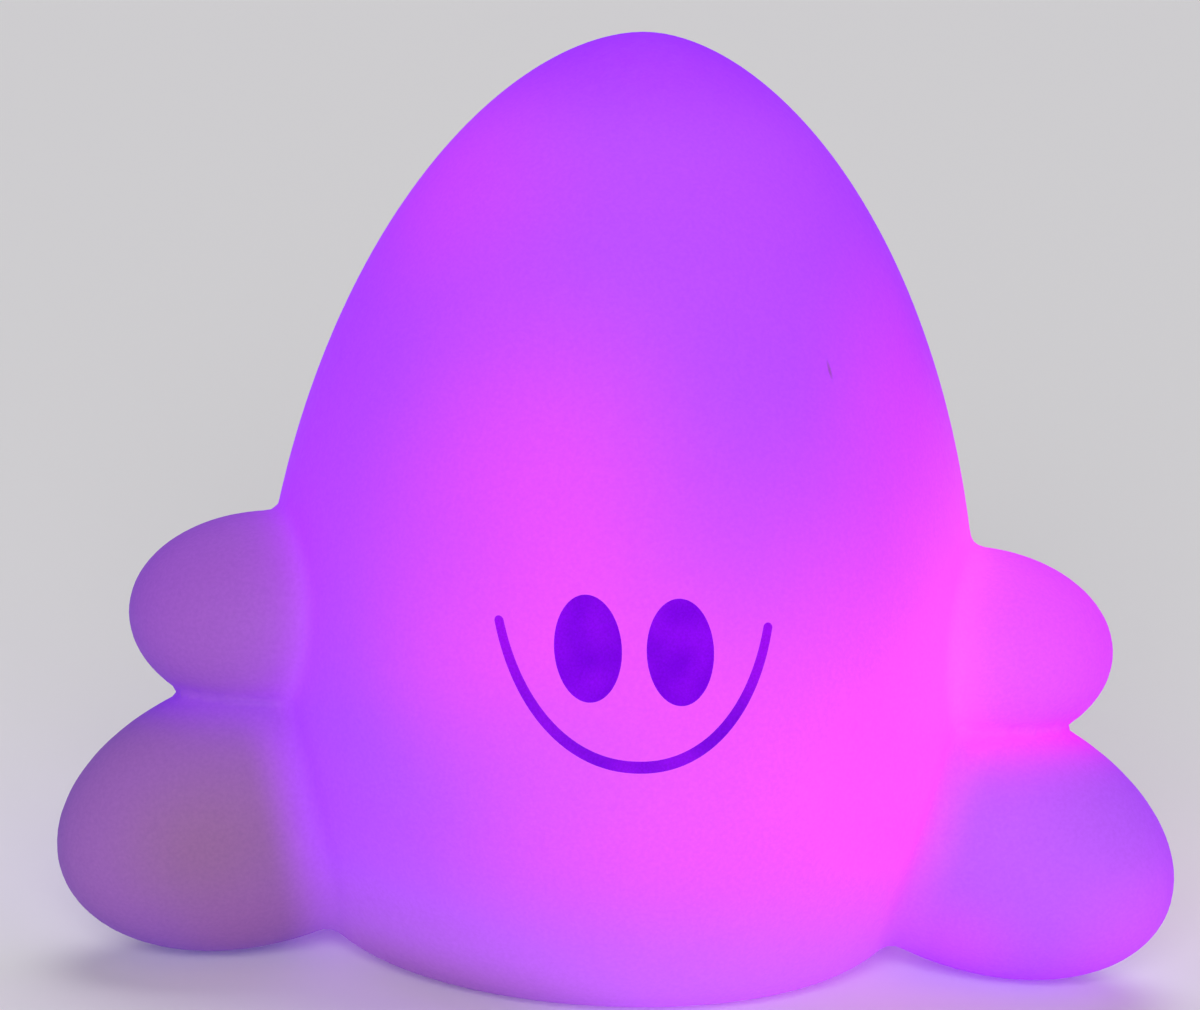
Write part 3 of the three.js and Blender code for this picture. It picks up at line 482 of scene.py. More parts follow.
# An ellipse filled from its middle out to its rim on top, and back to the middle underneath.
def makeEye(name, side):
    e = eye
    swing = np.linspace(0, math.pi, e["rings"] + 2)[1:-1, None]
    angle = fullTurn(e["columns"])[None, :]
    middle, share = side * e["spacing"] / 2, np.sin(swing)
    across = middle + e["width"] / 2 * share * np.cos(angle)
    height = e["height"] + e["tall"] / 2 * share * np.sin(angle)
    level = inkLevel(share, swing < math.pi / 2) + 0 * angle
    top, under = (facePoint(middle, e["height"], end) for end in (face["proud"], -face["depth"]))
    return ringObject(name, top, facePoint(across, height, level), under)


# A flat oval section carried along part of a superellipse, |a/A|^p + |h/H|^p = 1, with half-round ends.
def makeSmile():
    s = smileLine
    half = s["stroke"] / 2
    endAngle = math.acos((1 - s["rise"] / s["halfHeight"]) ** (s["power"] / 2))
    angle = np.linspace(-endAngle, endAngle + s["longer"], s["steps"])
    across = np.sign(angle) * s["halfWidth"] * np.abs(np.sin(angle)) ** (2 / s["power"])
    height = s["bottom"] + s["halfHeight"] * (1 - np.cos(angle) ** (2 / s["power"]))
    path = np.stack([across, height], 1)
    along = unit(np.gradient(path, axis=0))
    swing = np.linspace(0, math.pi / 2, s["endSteps"] + 1)[1:-1, None]
    capOut, capHalf = half * (1 - s["taper"]) * np.sin(swing), half * np.cos(swing)
    path = np.concatenate([(path[:1] - along[:1] * capOut)[::-1], path, path[-1:] + along[-1:] * capOut])
    narrowed = 1 - s["taper"] * np.minimum(1, np.abs(angle[:, None] / endAngle)) ** 2
    widths = np.concatenate([capHalf[::-1] * narrowed[0], half * narrowed, capHalf * narrowed[-1]])
    along = np.pad(along, ((len(swing), len(swing)), (0, 0)), "edge")
    ring = fullTurn(s["sides"])[None, :]
    offset = widths * np.cos(ring)
    level = inkLevel(np.cos(ring), ring < math.pi) * np.minimum(1, widths / half + s["endLevel"])
    rings = facePoint(path[:, :1] - offset * along[:, 1:], path[:, 1:] + offset * along[:, :1], level)
    last = half * (1 - s["taper"]) - capOut[-1]
    start, end = (facePoint(*(path[k] + way * along[k] * last), 0) for k, way in ((0, -1), (-1, 1)))
    return ringObject("smile_line", start, rings, end)


# Inside the base: spring, leads and door pad

bay = {"across": 4.5, "height": 9.7}  # the row of cells runs along X at this Y and Z
spring = {
    "start": -10.85,  # at the contact
    "length": 4.6,
    "wide": 3.4,
    "tip": 2.4,  # at the cell
    "wire": 0.5,
    "cutEnd": 0.8,  # the cut ends are slightly rounded
    "turns": 2.5,
    "closedTurns": 0.5,  # flat at each end
    "ease": 0.06,
    "stepsPerTurn": 64,
    "sides": 14,
}


# Round rings carried along a path: each ring stands square to the path and level with X.
def tubeRings(path, radii, sides):
    along = unit(np.gradient(path, axis=0))
    across = unit(np.cross((1, 0, 0), along))
    upward = np.cross(along, across)
    ring = fullTurn(sides)[None, :, None]
    turned = across[:, None] * np.cos(ring) + upward[:, None] * np.sin(ring)
    return path[:, None] + turned * np.reshape(radii, (-1, 1, 1))


# A helix that narrows from the contact to the cell; its rise eases in and out of a flat turn at each end.
def makeSpring():
    s = spring
    total = s["turns"] + 2 * s["closedTurns"]
    turns = np.linspace(0, total, int(total * s["stepsPerTurn"]) + 1)
    live = np.clip((turns - s["closedTurns"]) / s["turns"], 0, 1)
    rise = s["wire"] / 2 + (s["length"] - s["wire"]) * (live - s["ease"] * np.sin(2 * math.pi * live))
    radius = s["wide"] + (s["tip"] - s["wide"]) * turns / total
    angle = 2 * math.pi * turns
    across, height = bay["across"] + radius * np.cos(angle), bay["height"] + radius * np.sin(angle)
    path = np.stack([s["start"] + rise, across, height], 1)
    rounded = np.full(len(path), s["wire"] / 2)
    rounded[[0, -1]] *= s["cutEnd"]
    return ringObject("coil_spring", path[0], tubeRings(path, rounded, s["sides"]), path[-1])


lead = {
    "radius": 0.6,
    "core": 0.3,
    "strip": (1.04, 1.1, 1.22),  # from the end to the sleeve's start, its rounded edge and its full radius
    "edgeShare": 0.9,  # of the radius, at that edge
    "cut": 0.05,  # the core's end is rounded over this length
    "cutShare": 0.8,
    "straight": 1.6,
    "contactX": 11.75,  # the contacts' tails beside the bay
    "contactY": -0.3,
    "bayY": -4.7,
    "turnShare": {"red": 0.5, "black": 0.6},  # of the tail's X, where the lead turns upwards
    "turnY": -10.85,
    "turnHeight": 13.65,
    "switchX": 2.15,  # the switch's tails
    "switchY": -13.0,
    "switchTop": 7.1,
    "holeX": 1.2,  # the board's holes
    "holeY": -17.0,
    "deckBottom": 17.6,
    "boardTop": 21.4,
    "firstStep": 0.3,
    "halfSteps": 60,
    "steps": 40,
    "sides": 20,
}


# Points from a contact's tail up and inwards, across to a tail of the switch, or up through the board.
def leadRoute(colour):
    s, side = lead, -1 if colour == "red" else 1
    heights = (s["deckBottom"], s["boardTop"] - s["straight"], s["boardTop"])
    toBoard = [(side * s["holeX"], s["holeY"], z) for z in heights]
    toSwitch = [(s["switchX"], s["switchY"], s["switchTop"] + k * s["straight"]) for k in (2, 1, 0)]
    if colour == "white":
        halfway = (0, (s["switchY"] + s["holeY"]) / 2, (s["switchTop"] + s["deckBottom"]) / 2)
        return [*[(-x, y, z) for x, y, z in toSwitch[:0:-1]], halfway, *toBoard]
    fromBay = [(side * s["contactX"], y, bay["height"]) for y in (s["contactY"], s["bayY"])]
    turn = (side * s["contactX"] * s["turnShare"][colour], s["turnY"], s["turnHeight"])
    return [*fromBay, turn, *(toBoard if colour == "red" else toSwitch)]


# How far along a line of points each one lies, its steps raised to a power.
def runLength(points, power=1):
    return np.concatenate([[0], np.cumsum(np.linalg.norm(np.diff(points, axis=0), axis=1) ** power)])


# Straight from a at low to b at high.
def between(u, low, high, a, b):
    return ((high - u) * a + (u - low) * b) / (high - low)


# Centripetal curve through the route's points, in even steps of the square root of their spacing.
def routeCurve(route, steps):
    knots = np.array(route, float)
    knots = np.concatenate([[2 * knots[0] - knots[1]], knots, [2 * knots[-1] - knots[-2]]])
    t = runLength(knots, 0.5)
    parts = []
    for i in range(1, len(knots) - 2):
        u = np.linspace(t[i], t[i + 1], steps, endpoint=i == len(knots) - 3)[:, None]
        line = [between(u, t[k], t[k + 1], knots[k], knots[k + 1]) for k in (i - 1, i, i + 1)]
        bend = [between(u, t[i - 1 + k], t[i + 1 + k], line[k], line[k + 1]) for k in (0, 1)]
        parts.append(between(u, t[i], t[i + 1], *bend))
    return np.concatenate(parts)


# A round sleeve along the route, stepped down to the bare tinned core for a short way at both ends.
def makeLead(colour):
    s = lead
    full, core = s["radius"], s["core"]
    path = routeCurve(leadRoute(colour), s["steps"])
    length = runLength(path)
    early = [0, s["cut"], *s["strip"]]
    even = np.concatenate([early, np.linspace(early[-1] + s["firstStep"], length[-1] / 2, s["halfSteps"])])
    even = np.concatenate([even, length[-1] - even[-2::-1]])
    smooth = np.stack([np.interp(even, length, path[:, k]) for k in range(3)], 1)
    radii = [core * s["cutShare"], core, core, full * s["edgeShare"], full]
    radii = np.interp(np.minimum(even, length[-1] - even), early, radii)
    made = ringObject("wire_" + colour, smooth[0], tubeRings(smooth, radii, s["sides"]), smooth[-1])
    sleeve = np.repeat(easeStep(radii, core * 1.1, full * 0.8), s["sides"])
    addShare(made, "sleeve", np.concatenate([[0], sleeve, [0]]))
    return made


pad = {
    "middle": (2.45, 4.5),
    "half": (7.5, 4.6),
    "low": 2.8,
    "high": 3.6,
    "corner": 5.0,  # superellipse power of the outline
    "side": 0.97,  # share of the way out where the side begins
    "round": 0.22,
    "roundPower": 10,  # the higher, the nearer the rim the rounding begins
    "crown": 0.06,
    "dent": 0.1,  # where the cells press
    "cellX": (8.05, 2.35, -3.35),
    "dentWidths": (1.9, 2.2),
    "dentPower": 8,
    "rings": 30,
    "ringSpread": 0.7,  # below 1 the rings lie closer together near the rim
    "sideRings": 10,
    "columns": 128,
}


# A superellipse outline filled from its middle out: crowned and dented by the cells on top, flat beneath.
def makePad():
    p = pad
    (middleX, middleY), (halfX, halfY), side = p["middle"], p["half"], p["side"]
    angle = fullTurn(p["columns"])[None, :]
    cos, sin = np.cos(angle), np.sin(angle)
    outline = (np.abs(cos) ** p["corner"] + np.abs(sin) ** p["corner"]) ** (-1 / p["corner"])
    inner = np.linspace(0, 1, p["rings"] + 1)[1:, None] ** p["ringSpread"]
    bend = np.linspace(0, math.pi, p["sideRings"] + 2)[1:-1, None]
    share = np.concatenate([inner * side, side + (1 - side) * np.sin(bend), inner[::-1] * side])
    x = middleX + halfX * share * outline * cos
    y = middleY + halfY * share * outline * sin
    pressed = sum(bell(x - c, p["dentWidths"][0]) for c in p["cellX"])
    pressed *= bell(y - middleY, p["dentWidths"][1]) * p["dent"]
    rounded = p["round"] * (share / side) ** p["roundPower"]
    top = p["high"] - rounded - p["crown"] * share**2 - pressed * (1 - share ** p["dentPower"])
    under = np.concatenate([0 * inner, (1 - np.cos(bend)) / 2, 1 + 0 * inner])
    z = top * (1 - under) + (p["low"] + rounded) * under
    ends = [(*p["middle"], p["high"]), (*p["middle"], p["low"])]
    return ringObject("foam_pad", ends[0], np.stack([x, y, z], -1), ends[1])


# Turned pieces, as corners (radius, along) from the axis back to the axis

cell = {
    "middles": (8.15, 2.45, -3.25),
    "corners": [  # the cap's side first, with the seal's groove round it
        (0, -2.7), (4.62, -2.7), (4.78, -2.54), (4.78, -2.02), (4.98, -2.02), (4.98, -2.2), (5.32, -2.2),
        (5.8, -1.72), (5.8, 2.22), (5.34, 2.7), (3.7, 2.7), (3.6, 2.63), (0, 2.63),
    ],
    "rounding": 0.16,
    "columns": 96,
}
lamp = {
    "away": 10,  # from the middle of the board
    "seat": 23.6,
    "angles": {"red": -20, "blue": 200, "green": 90},
    "radius": 2.5,
    "straight": 6.1,
    "flange": [(0, 0), (2.9, 0), (2.9, 1), (2.5, 1)],
    "rounding": 0.12,
    "domeSteps": 12,
    "columns": 64,
}
can = {
    "away": 13,
    "angle": 45,
    "corners": [
        (0, 0), (2.5, 0), (2.5, 0.95), (2.3, 1.2), (2.5, 1.45), (2.5, 5.6), (2.1, 6), (1.9, 5.9), (0, 5.9),
    ],
    "rounding": 0.18,
    "columns": 72,
}
cover = {
    "radius": 25.69,
    "wall": 1.6,
    "bottom": 19.5,
    "shoulder": 25.5,
    "rise": 13,
    "rounding": 0.5,
    "steps": 16,
    "columns": 128,
}


# Each corner becomes a curve, (1-t)^2 a + 2t(1-t) corner + t^2 b, between points on both sides of it.
def roundedCorners(corners, size, steps=5):
    points = np.array(corners, float)
    middle, sides = points[1:-1], []
    for beside in (points[:-2], points[2:]):
        length = np.linalg.norm(beside - middle, axis=1, keepdims=True)
        sides.append(middle + (beside - middle) * np.minimum(size / length, 0.45))  # under half of the side
    t = np.linspace(0, 1, steps)[None, :, None]
    a, b = sides[0][:, None], sides[1][:, None]
    return ((1 - t) ** 2 * a + 2 * t * (1 - t) * middle[:, None] + t * t * b).reshape(-1, 2)


# The corners' outline turned round a line along X or Z through the middle.
def turnedObject(name, corners, shape, middle, alongX=False):
    radius, along = roundedCorners(corners, shape["rounding"]).T[:, :, None]
    angle = fullTurn(shape["columns"])[None, :]
    rings = [radius * np.cos(angle), radius * np.sin(angle), along + 0 * angle]
    ends = np.array([[0, 0, corners[0][1]], [0, 0, corners[-1][1]]], float)
    if alongX:
        rings, ends = rings[-1:] + rings[:-1], ends[:, [2, 0, 1]]
    return ringObject(name, ends[0] + middle, np.stack(rings, -1) + middle, ends[1] + middle)


def roundPlace(away, degrees, height):
    angle = math.radians(degrees)
    return np.array([away * math.cos(angle), away * math.sin(angle), height])


def quarterArc(radius, rise, bottom, steps):
    angle = np.linspace(0, math.pi / 2, steps + 1)
    return np.stack([radius * np.cos(angle) * (angle < math.pi / 2), bottom + rise * np.sin(angle)], 1)


def makeCell(number):
    middle = np.array([cell["middles"][number - 1], bay["across"], bay["height"]])
    return turnedObject(f"cell_{number}", cell["corners"], cell, middle, alongX=True)


def makeLamp(colour):
    p = lamp
    corners = [*p["flange"], *quarterArc(p["radius"], p["radius"], p["straight"], p["domeSteps"])]
    return turnedObject("lamp_" + colour, corners, p, roundPlace(p["away"], p["angles"][colour], p["seat"]))


# The cover's inside from its top down to the rim, then its outside back up.
def makeCover():
    c = cover
    inside = c["radius"] - c["wall"]
    inner = quarterArc(inside, c["rise"] - c["wall"], c["shoulder"], c["steps"])[::-1]
    outer = quarterArc(c["radius"], c["rise"], c["shoulder"], c["steps"])
    rim = [(inside, c["bottom"]), (c["radius"], c["bottom"])]
    return turnedObject("frosted_dome", [*inner, *rim, *outer], c, np.zeros(3))


# Materials


# Values set on a node's sockets, or other nodes' outputs joined to them.
def setSockets(node, sockets):
    for key, value in sockets.items():
        socket = node.inputs[key]
        if isinstance(value, bpy.types.NodeSocket):
            node.id_data.links.new(value, socket)
        else:
            socket.default_value = (*value, 1) if socket.type == "RGBA" else value


# One output of a new shader node in the same tree as a given socket.
def addNode(near, kind, sockets, output=0, **settings):
    made = near.id_data.nodes.new("ShaderNode" + kind)
    for key, value in settings.items():
        setattr(made, key, value)
    setSockets(made, sockets)
    return made.outputs[output]


# A new material and its place on the piece, in Object coordinates.
def newPaint(name):
    made = bpy.data.materials.new(name)
    made.use_nodes = True
    return made, made.node_tree.nodes.new("ShaderNodeTexCoord").outputs["Object"]


def painted(made, sockets):
    setSockets(made.node_tree.nodes["Principled BSDF"], sockets)
    return made


# A value taken from one range to another and held at its ends, eased there with SMOOTHSTEP.
def mapped(value, start, end, low=0, high=1, ease="LINEAR"):
    sockets = {"Value": value, "From Min": start, "From Max": end, "To Min": low, "To Max": high}
    return addNode(value, "MapRange", sockets, interpolation_type=ease)


# A texture of that feature size in millimetres.
def texture(place, kind, size, sockets, output="Fac", **settings):
    sockets = {"Vector": place, "Scale": 1 / (size * mm), **sockets}
    return addNode(place, "Tex" + kind, sockets, output, **settings)


# Noise spread from low to high.
def grain(place, size, low, high, detail=2):
    return mapped(texture(place, "Noise", size, {"Detail": detail}), 0.3, 0.7, low, high)


def mixColour(share, under, over):
    return addNode(share, "Mix", {0: share, 6: under, 7: over}, 2, data_type="RGBA")


def scaleColour(colour, amount):
    return addNode(amount, "VectorMath", {0: colour, 3: amount}, operation="SCALE")


def timesValue(one, other):
    return addNode(one, "Math", {0: one, 1: other}, operation="MULTIPLY")


def shareOf(place, name):
    return addNode(place, "Attribute", {}, "Fac", attribute_name=name)


def bump(height, depth, strength, under=None):
    sockets = {"Height": height, "Distance": depth * mm, "Strength": strength}
    if under:
        sockets["Normal"] = under
    return addNode(height, "Bump", sockets)


# 0 to 1 as a coordinate goes from one height to another.
def rampAlong(place, axis, start, end):
    value = addNode(place, "SeparateXYZ", {0: place}, axis)
    return mapped(value, start * mm, end * mm, ease="SMOOTHSTEP")


# A soft ellipsoid: strength at its middle, easing to 0 at its radii.
def softZone(place, middle, radii, strength, turn=(0, 0, 0)):
    sockets = {"Location": [c * mm for c in middle], "Rotation": turn, "Scale": [r * mm for r in radii]}
    moved = addNode(place, "Mapping", {"Vector": place, **sockets}, vector_type="TEXTURE")
    ball = addNode(place, "TexGradient", {"Vector": moved}, "Fac", gradient_type="SPHERICAL")
    return mapped(ball, 0, 1, high=strength, ease="SMOOTHSTEP")


# Zones (middle, radii, colour, strength, any turn) laid over a colour in turn, all of them times a share.
def overlaid(place, colour, zones, within=None):
    for middle, radii, over, strength, *turn in zones:
        share = softZone(place, middle, radii, strength, *turn)
        colour = mixColour(timesValue(share, within) if within else share, colour, over)
    return colour


skinPaint = {
    "unlit": (0.22, 0.071, 0.13),
    "unlitPaintedLightLow": (0.22, 0.092, 0.13),  # lighter low down as painted light from below, and darker at the crown as painted shade
    "paintedLightRamp": (72, 12),
    "unlitPaintedShadeCrown": (0.2, 0.034, 0.13),
    "paintedShadeRamp": (107, 122),
    "glow": (0.285, 0, 0.97),
    "zones": [  # middle, radii, glow colour, strength; each over the last
        ((0, 0, 120), (34, 34, 24), (0.2, 0, 0.93), 0.9),  # crown
        ((-23, -13, 101), (22, 36, 22), (0.42, 0, 0.97), 0.85),  # temple
        ((32, -20, 77), (19, 28, 27), (0.58, 0, 0.97), 0.64),  # right temple
        ((-40, -14, 24), (24, 60, 36), (0.26, 0, 0.95), 1),  # left flank
        ((-42, -18, 58), (20, 40, 26), (0.33, 0, 0.97), 0.8),  # and above it
        ((-12, -38, 62), (28, 40, 38), (0.66, 0, 0.97), 0.9),  # brow
        ((31, -24, 31), (67, 60, 57), (0.98, 0.014, 0.97), 1),  # cheek
        ((-23, -38, 54), (21, 30, 28), (0.42, 0, 0.97), 0.45),  # left of the face
        ((-8, -40, 45), (32, 40, 22), (0.9, 0, 0.97), 0.4),  # chin
        ((0, -46, 25), (31, 30, 16), (0.86, 0, 0.97), 0.33),  # and below it
        ((46, -8, 45), (22, 60, 47), (1, 0.055, 1), 1),  # right flank
        ((-36, -30, -4), (46, 60, 24), (0.03, 0.01, 0.14), 1),  # painted shade on the lower edge on the left
        ((26, 34, 36), (50, 34, 50), (0.86, 0.01, 0.97), 0.8),  # back, on the red lamp's side
        ((-24, 30, 66), (30, 36, 40), (0.44, 0, 0.97), 0.7),  # and on the other side
    ],
    "hem": (26, 0),  # heights between which painted light from below grows on the lower edge
    "hemPaintedLight": (0.37, 0.12, 0.88),
    "hemShare": 0.5,
    "paintedShadeEdge": [((-27, -34, -1), (37, 40, 11), (0.08, 0.03, 0.22), 0.9)],
    "sideRamp": (-8, 8),  # the change from the lamps' light in the left limbs to that in the right ones
    "leftArm": (0.09, 0.018, 0.42),
    "leftFoot": (0.065, 0.022, 0.31),
    "rightArm": (0.63, 0.005, 0.95),
    "rightFoot": (0.3, 0.01, 0.9),
    "footZones": [
        ((-52, -34, 18), (18, 15, 18), (0.035, 0.037, 0.11), 0.85),  # the left foot's middle, in painted shade
        ((-46, -30, 4), (15, 24, 15), (0.08, 0.03, 0.2), 0.8),  # and its lower edge, in painted shade
        ((70, -26, 6), (20, 22, 20), (0.5, 0.01, 0.95), 0.8),  # the right foot's lower edge
        ((66, -26, 30), (18, 22, 16), (0.21, 0.01, 0.8), 0.8),  # its upper side
        ((42, -34, 6), (16, 20, 12), (0.78, 0.01, 0.95), 0.5),  # and its inner corner
    ],
    "leftCrease": (0.13, 0, 0.7),
    "rightCrease": (0.92, 0, 0.97),
    "creaseStrength": 0.8,
    "scuff": [((22.44, -30.17, 82.47), (0.42, 1.3, 1.9), (0.12, 0, 0.4), 1, (-0.467, -0.061, 0.697))],
    "mottle": ((0.5, 0.96, 1), (9, 0.975, 1)),  # size in millimetres, darkest, lightest
    "unlitMottle": (0.5, 0.9, 1),
    "foldShade": 0.2,
    "pores": (0.35, 0.02, 0.6),  # size, depth, strength
    "waves": (7, 0.12, 0.3),
    "roughness": (1.5, 0.62, 0.74),
    "specular": 0.1,
}


# Matte silicone lit from inside: the lamps' colours as soft zones, the lamps' light in the limbs by how far
# they stand out from the body, one small scuff, and fine pores and a faint mottle over all.
def makeSiliconePaint():
    p = skinPaint
    made, place = newPaint("siliconeGlow")
    footShare, limbShare = shareOf(place, "footShare"), shareOf(place, "limbShare")
    creaseShare, foldShare = shareOf(place, "creaseShare"), shareOf(place, "foldShare")
    glow = overlaid(place, p["glow"], p["zones"])
    # Painted light from below on the lower edge.
    hem = rampAlong(place, "Z", *p["hem"])
    glow = mixColour(timesValue(hem, p["hemShare"]), glow, p["hemPaintedLight"])
    # Painted shade on the lower left edge.
    glow = overlaid(place, glow, p["paintedShadeEdge"])
    right = rampAlong(place, "X", *p["sideRamp"])
    leftLimb = mixColour(footShare, p["leftArm"], p["leftFoot"])
    rightLimb = mixColour(footShare, p["rightArm"], p["rightFoot"])
    limb = overlaid(place, mixColour(right, leftLimb, rightLimb), p["footZones"], footShare)
    glow = mixColour(limbShare, glow, limb)
    crease = mixColour(right, p["leftCrease"], p["rightCrease"])
    glow = mixColour(timesValue(creaseShare, p["creaseStrength"]), glow, crease)
    glow = overlaid(place, glow, p["scuff"])
    fine, broad = (grain(place, *m) for m in p["mottle"])
    # Painted light and shade: the studio-lit colour is lighter low down and darker at the crown.
    unlit = mixColour(rampAlong(place, "Z", *p["paintedLightRamp"]), p["unlit"], p["unlitPaintedLightLow"])
    unlit = mixColour(rampAlong(place, "Z", *p["paintedShadeRamp"]), unlit, p["unlitPaintedShadeCrown"])
    unlit = scaleColour(unlit, grain(place, *p["unlitMottle"]))
    unlit = mixColour(timesValue(foldShare, p["foldShade"]), unlit, (0, 0, 0))
    size, depth, strength = p["pores"]
    porous = bump(grain(place, size, 0, 1, 3), depth, strength)
    size, depth, strength = p["waves"]
    return painted(made, {
        "Base Color": unlit,
        "Roughness": grain(place, *p["roughness"]),
        "Specular IOR Level": p["specular"],
        "Emission Color": scaleColour(glow, timesValue(fine, broad)),
        "Emission Strength": 1,
        "Normal": bump(grain(place, size, 0, 1, 1), depth, strength, porous),
    })


# The colour with a slight warm and cool drift over it.
def grainTint(place, colour, drift=0.05):
    warm = tuple(min(1, c * k) for c, k in zip(colour, (1 + drift, 1, 1 - drift)))
    cool = tuple(min(1, c * k) for c, k in zip(colour, (1 - drift, 1, 1 + drift)))
    return mixColour(grain(place, 6, 0, 1), warm, cool)


inkPaint = {
    "unlit": (0.01, 0, 0.02),
    "eyeDark": (0.19, 0, 0.8),
    "eyeLight": (0.27, 0.002, 0.95),
    "smileDark": (0.195, 0.002, 0.79),
    "smileLight": (0.29, 0.004, 0.9),
    "cloudSize": 4.5,
    "smileEnds": (0.36, 0.004, 0.93),
    "endsRamp": (38, 52),
    "stipple": (0.28, 0.84, 1.03),
    "roughness": (0.8, 0.6, 0.72),
    "specular": 0.02,
}


# Matte ink with light behind it: cloudy between two violets, stippled, and paler up the smile's ends.
def makeInkPaint(part):
    p = inkPaint
    made, place = newPaint(part + "Ink")
    cloud = grain(place, p["cloudSize"], 0, 1, 0.5)
    glow = mixColour(cloud, p[part + "Dark"], p[part + "Light"])
    if part == "smile":
        glow = mixColour(rampAlong(place, "Z", *p["endsRamp"]), glow, p["smileEnds"])
    stipple = grain(place, *p["stipple"], 3)
    return painted(made, {
        "Base Color": grainTint(place, p["unlit"]),
        "Roughness": grain(place, *p["roughness"]),
        "Specular IOR Level": p["specular"],
        "Emission Color": scaleColour(glow, stipple),
        "Emission Strength": 1,
        "Normal": bump(stipple, 0.02, 0.5),
    })


# Moulded plastic: fine even spark texture, faint cloudiness, a little smoother in patches from handling.
def makePlasticPaint(name, colour, rough, texture=0.3, depth=0.015):
    made, place = newPaint(name)
    cloudy = scaleColour(grainTint(place, colour, 0.008), grain(place, 3, 0.97, 1))
    handled, even = grain(place, 4, rough * 0.85, rough), grain(place, 0.4, 0.9, 1.05)
    return painted(made, {
        "Base Color": cloudy,
        "Roughness": timesValue(handled, even),
        "Normal": bump(grain(place, texture, 0, 1, 3), depth, 0.8),
    })


foamPaint = {
    # The cells' inside colour is painted shade.
    "pitShade": (0.02, 0.02, 0.022),
    "wall": (0.085, 0.085, 0.09),
    "cellSize": 0.45,
    "pitEdge": (0.15, 0.6),
    "depth": 0.12,
    "roughness": 0.92,
}


# Open-cell foam: small round cells sunk into a dark rubbery body, their insides darker as painted shade.
def makeFoamPaint():
    p = foamPaint
    made, place = newPaint("openFoam")
    pits = mapped(texture(place, "Voronoi", p["cellSize"], {}, "Distance"), *p["pitEdge"])
    return painted(made, {
        "Base Color": mixColour(pits, p["pitShade"], p["wall"]),
        "Roughness": p["roughness"],
        "Normal": bump(timesValue(pits, grain(place, 0.2, 0.7, 1)), p["depth"], 1),
    })


metalPaint = {
    "ringSize": 1.1,
    "lineSize": 0.15,
    "lineDepth": 0.006,
    "lineShine": (0.85, 1.2),  # the roughness goes between these shares of its value along the lines
    "cloudSize": 1.4,
    "wornShare": 0.6,
}


# Metal with fine lines: noise stretched along one way, or rings round an axis for turned and drawn pieces.
def makeMetalPaint(name, colour, rough, lines, middle=(0, 0, 0), tarnish=None):
    p = metalPaint
    made, place = newPaint(name)
    if lines in ("X", "Y", "Z"):
        moved = {"Vector": place, "Location": [c * mm for c in middle]}
        centred = addNode(place, "Mapping", moved, vector_type="TEXTURE")
        waves = {"Distortion": 0.6, "Detail": 2, "Detail Scale": 3}
        streak = texture(centred, "Wave", p["ringSize"], waves, wave_type="RINGS", rings_direction=lines)
    else:
        stretched = addNode(place, "Mapping", {"Vector": place, "Scale": lines})
        streak = grain(stretched, p["lineSize"], 0, 1, 3)
    worn = timesValue(grain(place, p["cloudSize"], 0, 1), p["wornShare"])
    low, high = (rough * share for share in p["lineShine"])
    return painted(made, {
        "Base Color": mixColour(worn, colour, tarnish or tuple(c * 0.82 for c in colour)),
        "Metallic": 1,
        "Roughness": timesValue(grain(place, 0.7, 0.9, 1.15), mapped(streak, 0, 1, low, high)),
        "Normal": bump(streak, p["lineDepth"], 0.6),
    })


boardPaint = {
    "mask": (0.035, 0.17, 0.075),
    "track": (0.07, 0.27, 0.11),
    "pad": (0.66, 0.64, 0.58),
    "trackSpacing": 5.2,
    "trackWidth": 0.035,
    "padSpacing": 2.6,
    "padRadius": 0.17,
    "trackDepth": 0.03,
}


# Circuit board: solder mask over fine copper tracks, bare tinned pads in rows.
def makeBoardPaint():
    p = boardPaint
    made, place = newPaint("solderMask")
    bricks = {"Mortar Size": p["trackWidth"], "Mortar Smooth": 0.2, "Brick Width": 0.62}
    tracks = texture(place, "Brick", p["trackSpacing"], bricks, offset=0.35, offset_frequency=3)
    spots = texture(place, "Voronoi", p["padSpacing"], {"Randomness": 0.25}, "Distance")
    pads = addNode(place, "Math", {0: spots, 1: p["padRadius"]}, operation="LESS_THAN")
    mask = scaleColour(mixColour(tracks, p["mask"], p["track"]), grain(place, 0.25, 0.9, 1))
    return painted(made, {
        "Base Color": mixColour(pads, mask, p["pad"]),
        "Metallic": pads,
        "Roughness": grain(place, 1.2, 0.32, 0.42),
        "Normal": bump(tracks, p["trackDepth"], 0.7),
    })


lampPaint = {  # colour, glow, strength
    "red": ((0.9, 0.05, 0.08), (1, 0.1, 0.14), 1),
    "blue": ((0.08, 0.1, 0.9), (0.14, 0.16, 1), 1),
    "green": ((0.08, 0.6, 0.12), (0.02, 0.12, 0.03), 0.3),
    "flangeShare": 0.35,  # of the glow, at the flange
    "rise": (23.6, 30),
}


# Clear tinted resin: lit up from its middle, darker at the flange, glossy.
def makeLampPaint(name):
    p = lampPaint
    colour, glow, lit = p[name]
    made, place = newPaint(name + "Resin")
    rise = rampAlong(place, "Z", *p["rise"])
    return painted(made, {
        "Base Color": scaleColour(grainTint(place, colour), grain(place, 1.5, 0.92, 1)),
        "Roughness": grain(place, 1, 0.06, 0.12),
        "Transmission Weight": 0.35,
        "IOR": 1.53,
        "Emission Color": mixColour(rise, tuple(c * p["flangeShare"] for c in glow), glow),
        "Emission Strength": lit,
    })


coverPaint = {
    "colour": (0.88, 0.86, 0.9),
    "glow": (0.14, 0.02, 0.5),
    "redZone": [((9, 3, 30), (24, 24, 22), (0.6, 0.08, 0.42), 1)],
    "rimGlow": (0.03, 0.005, 0.06),
    "rimRamp": (19, 30),
    "strength": 0.8,
}


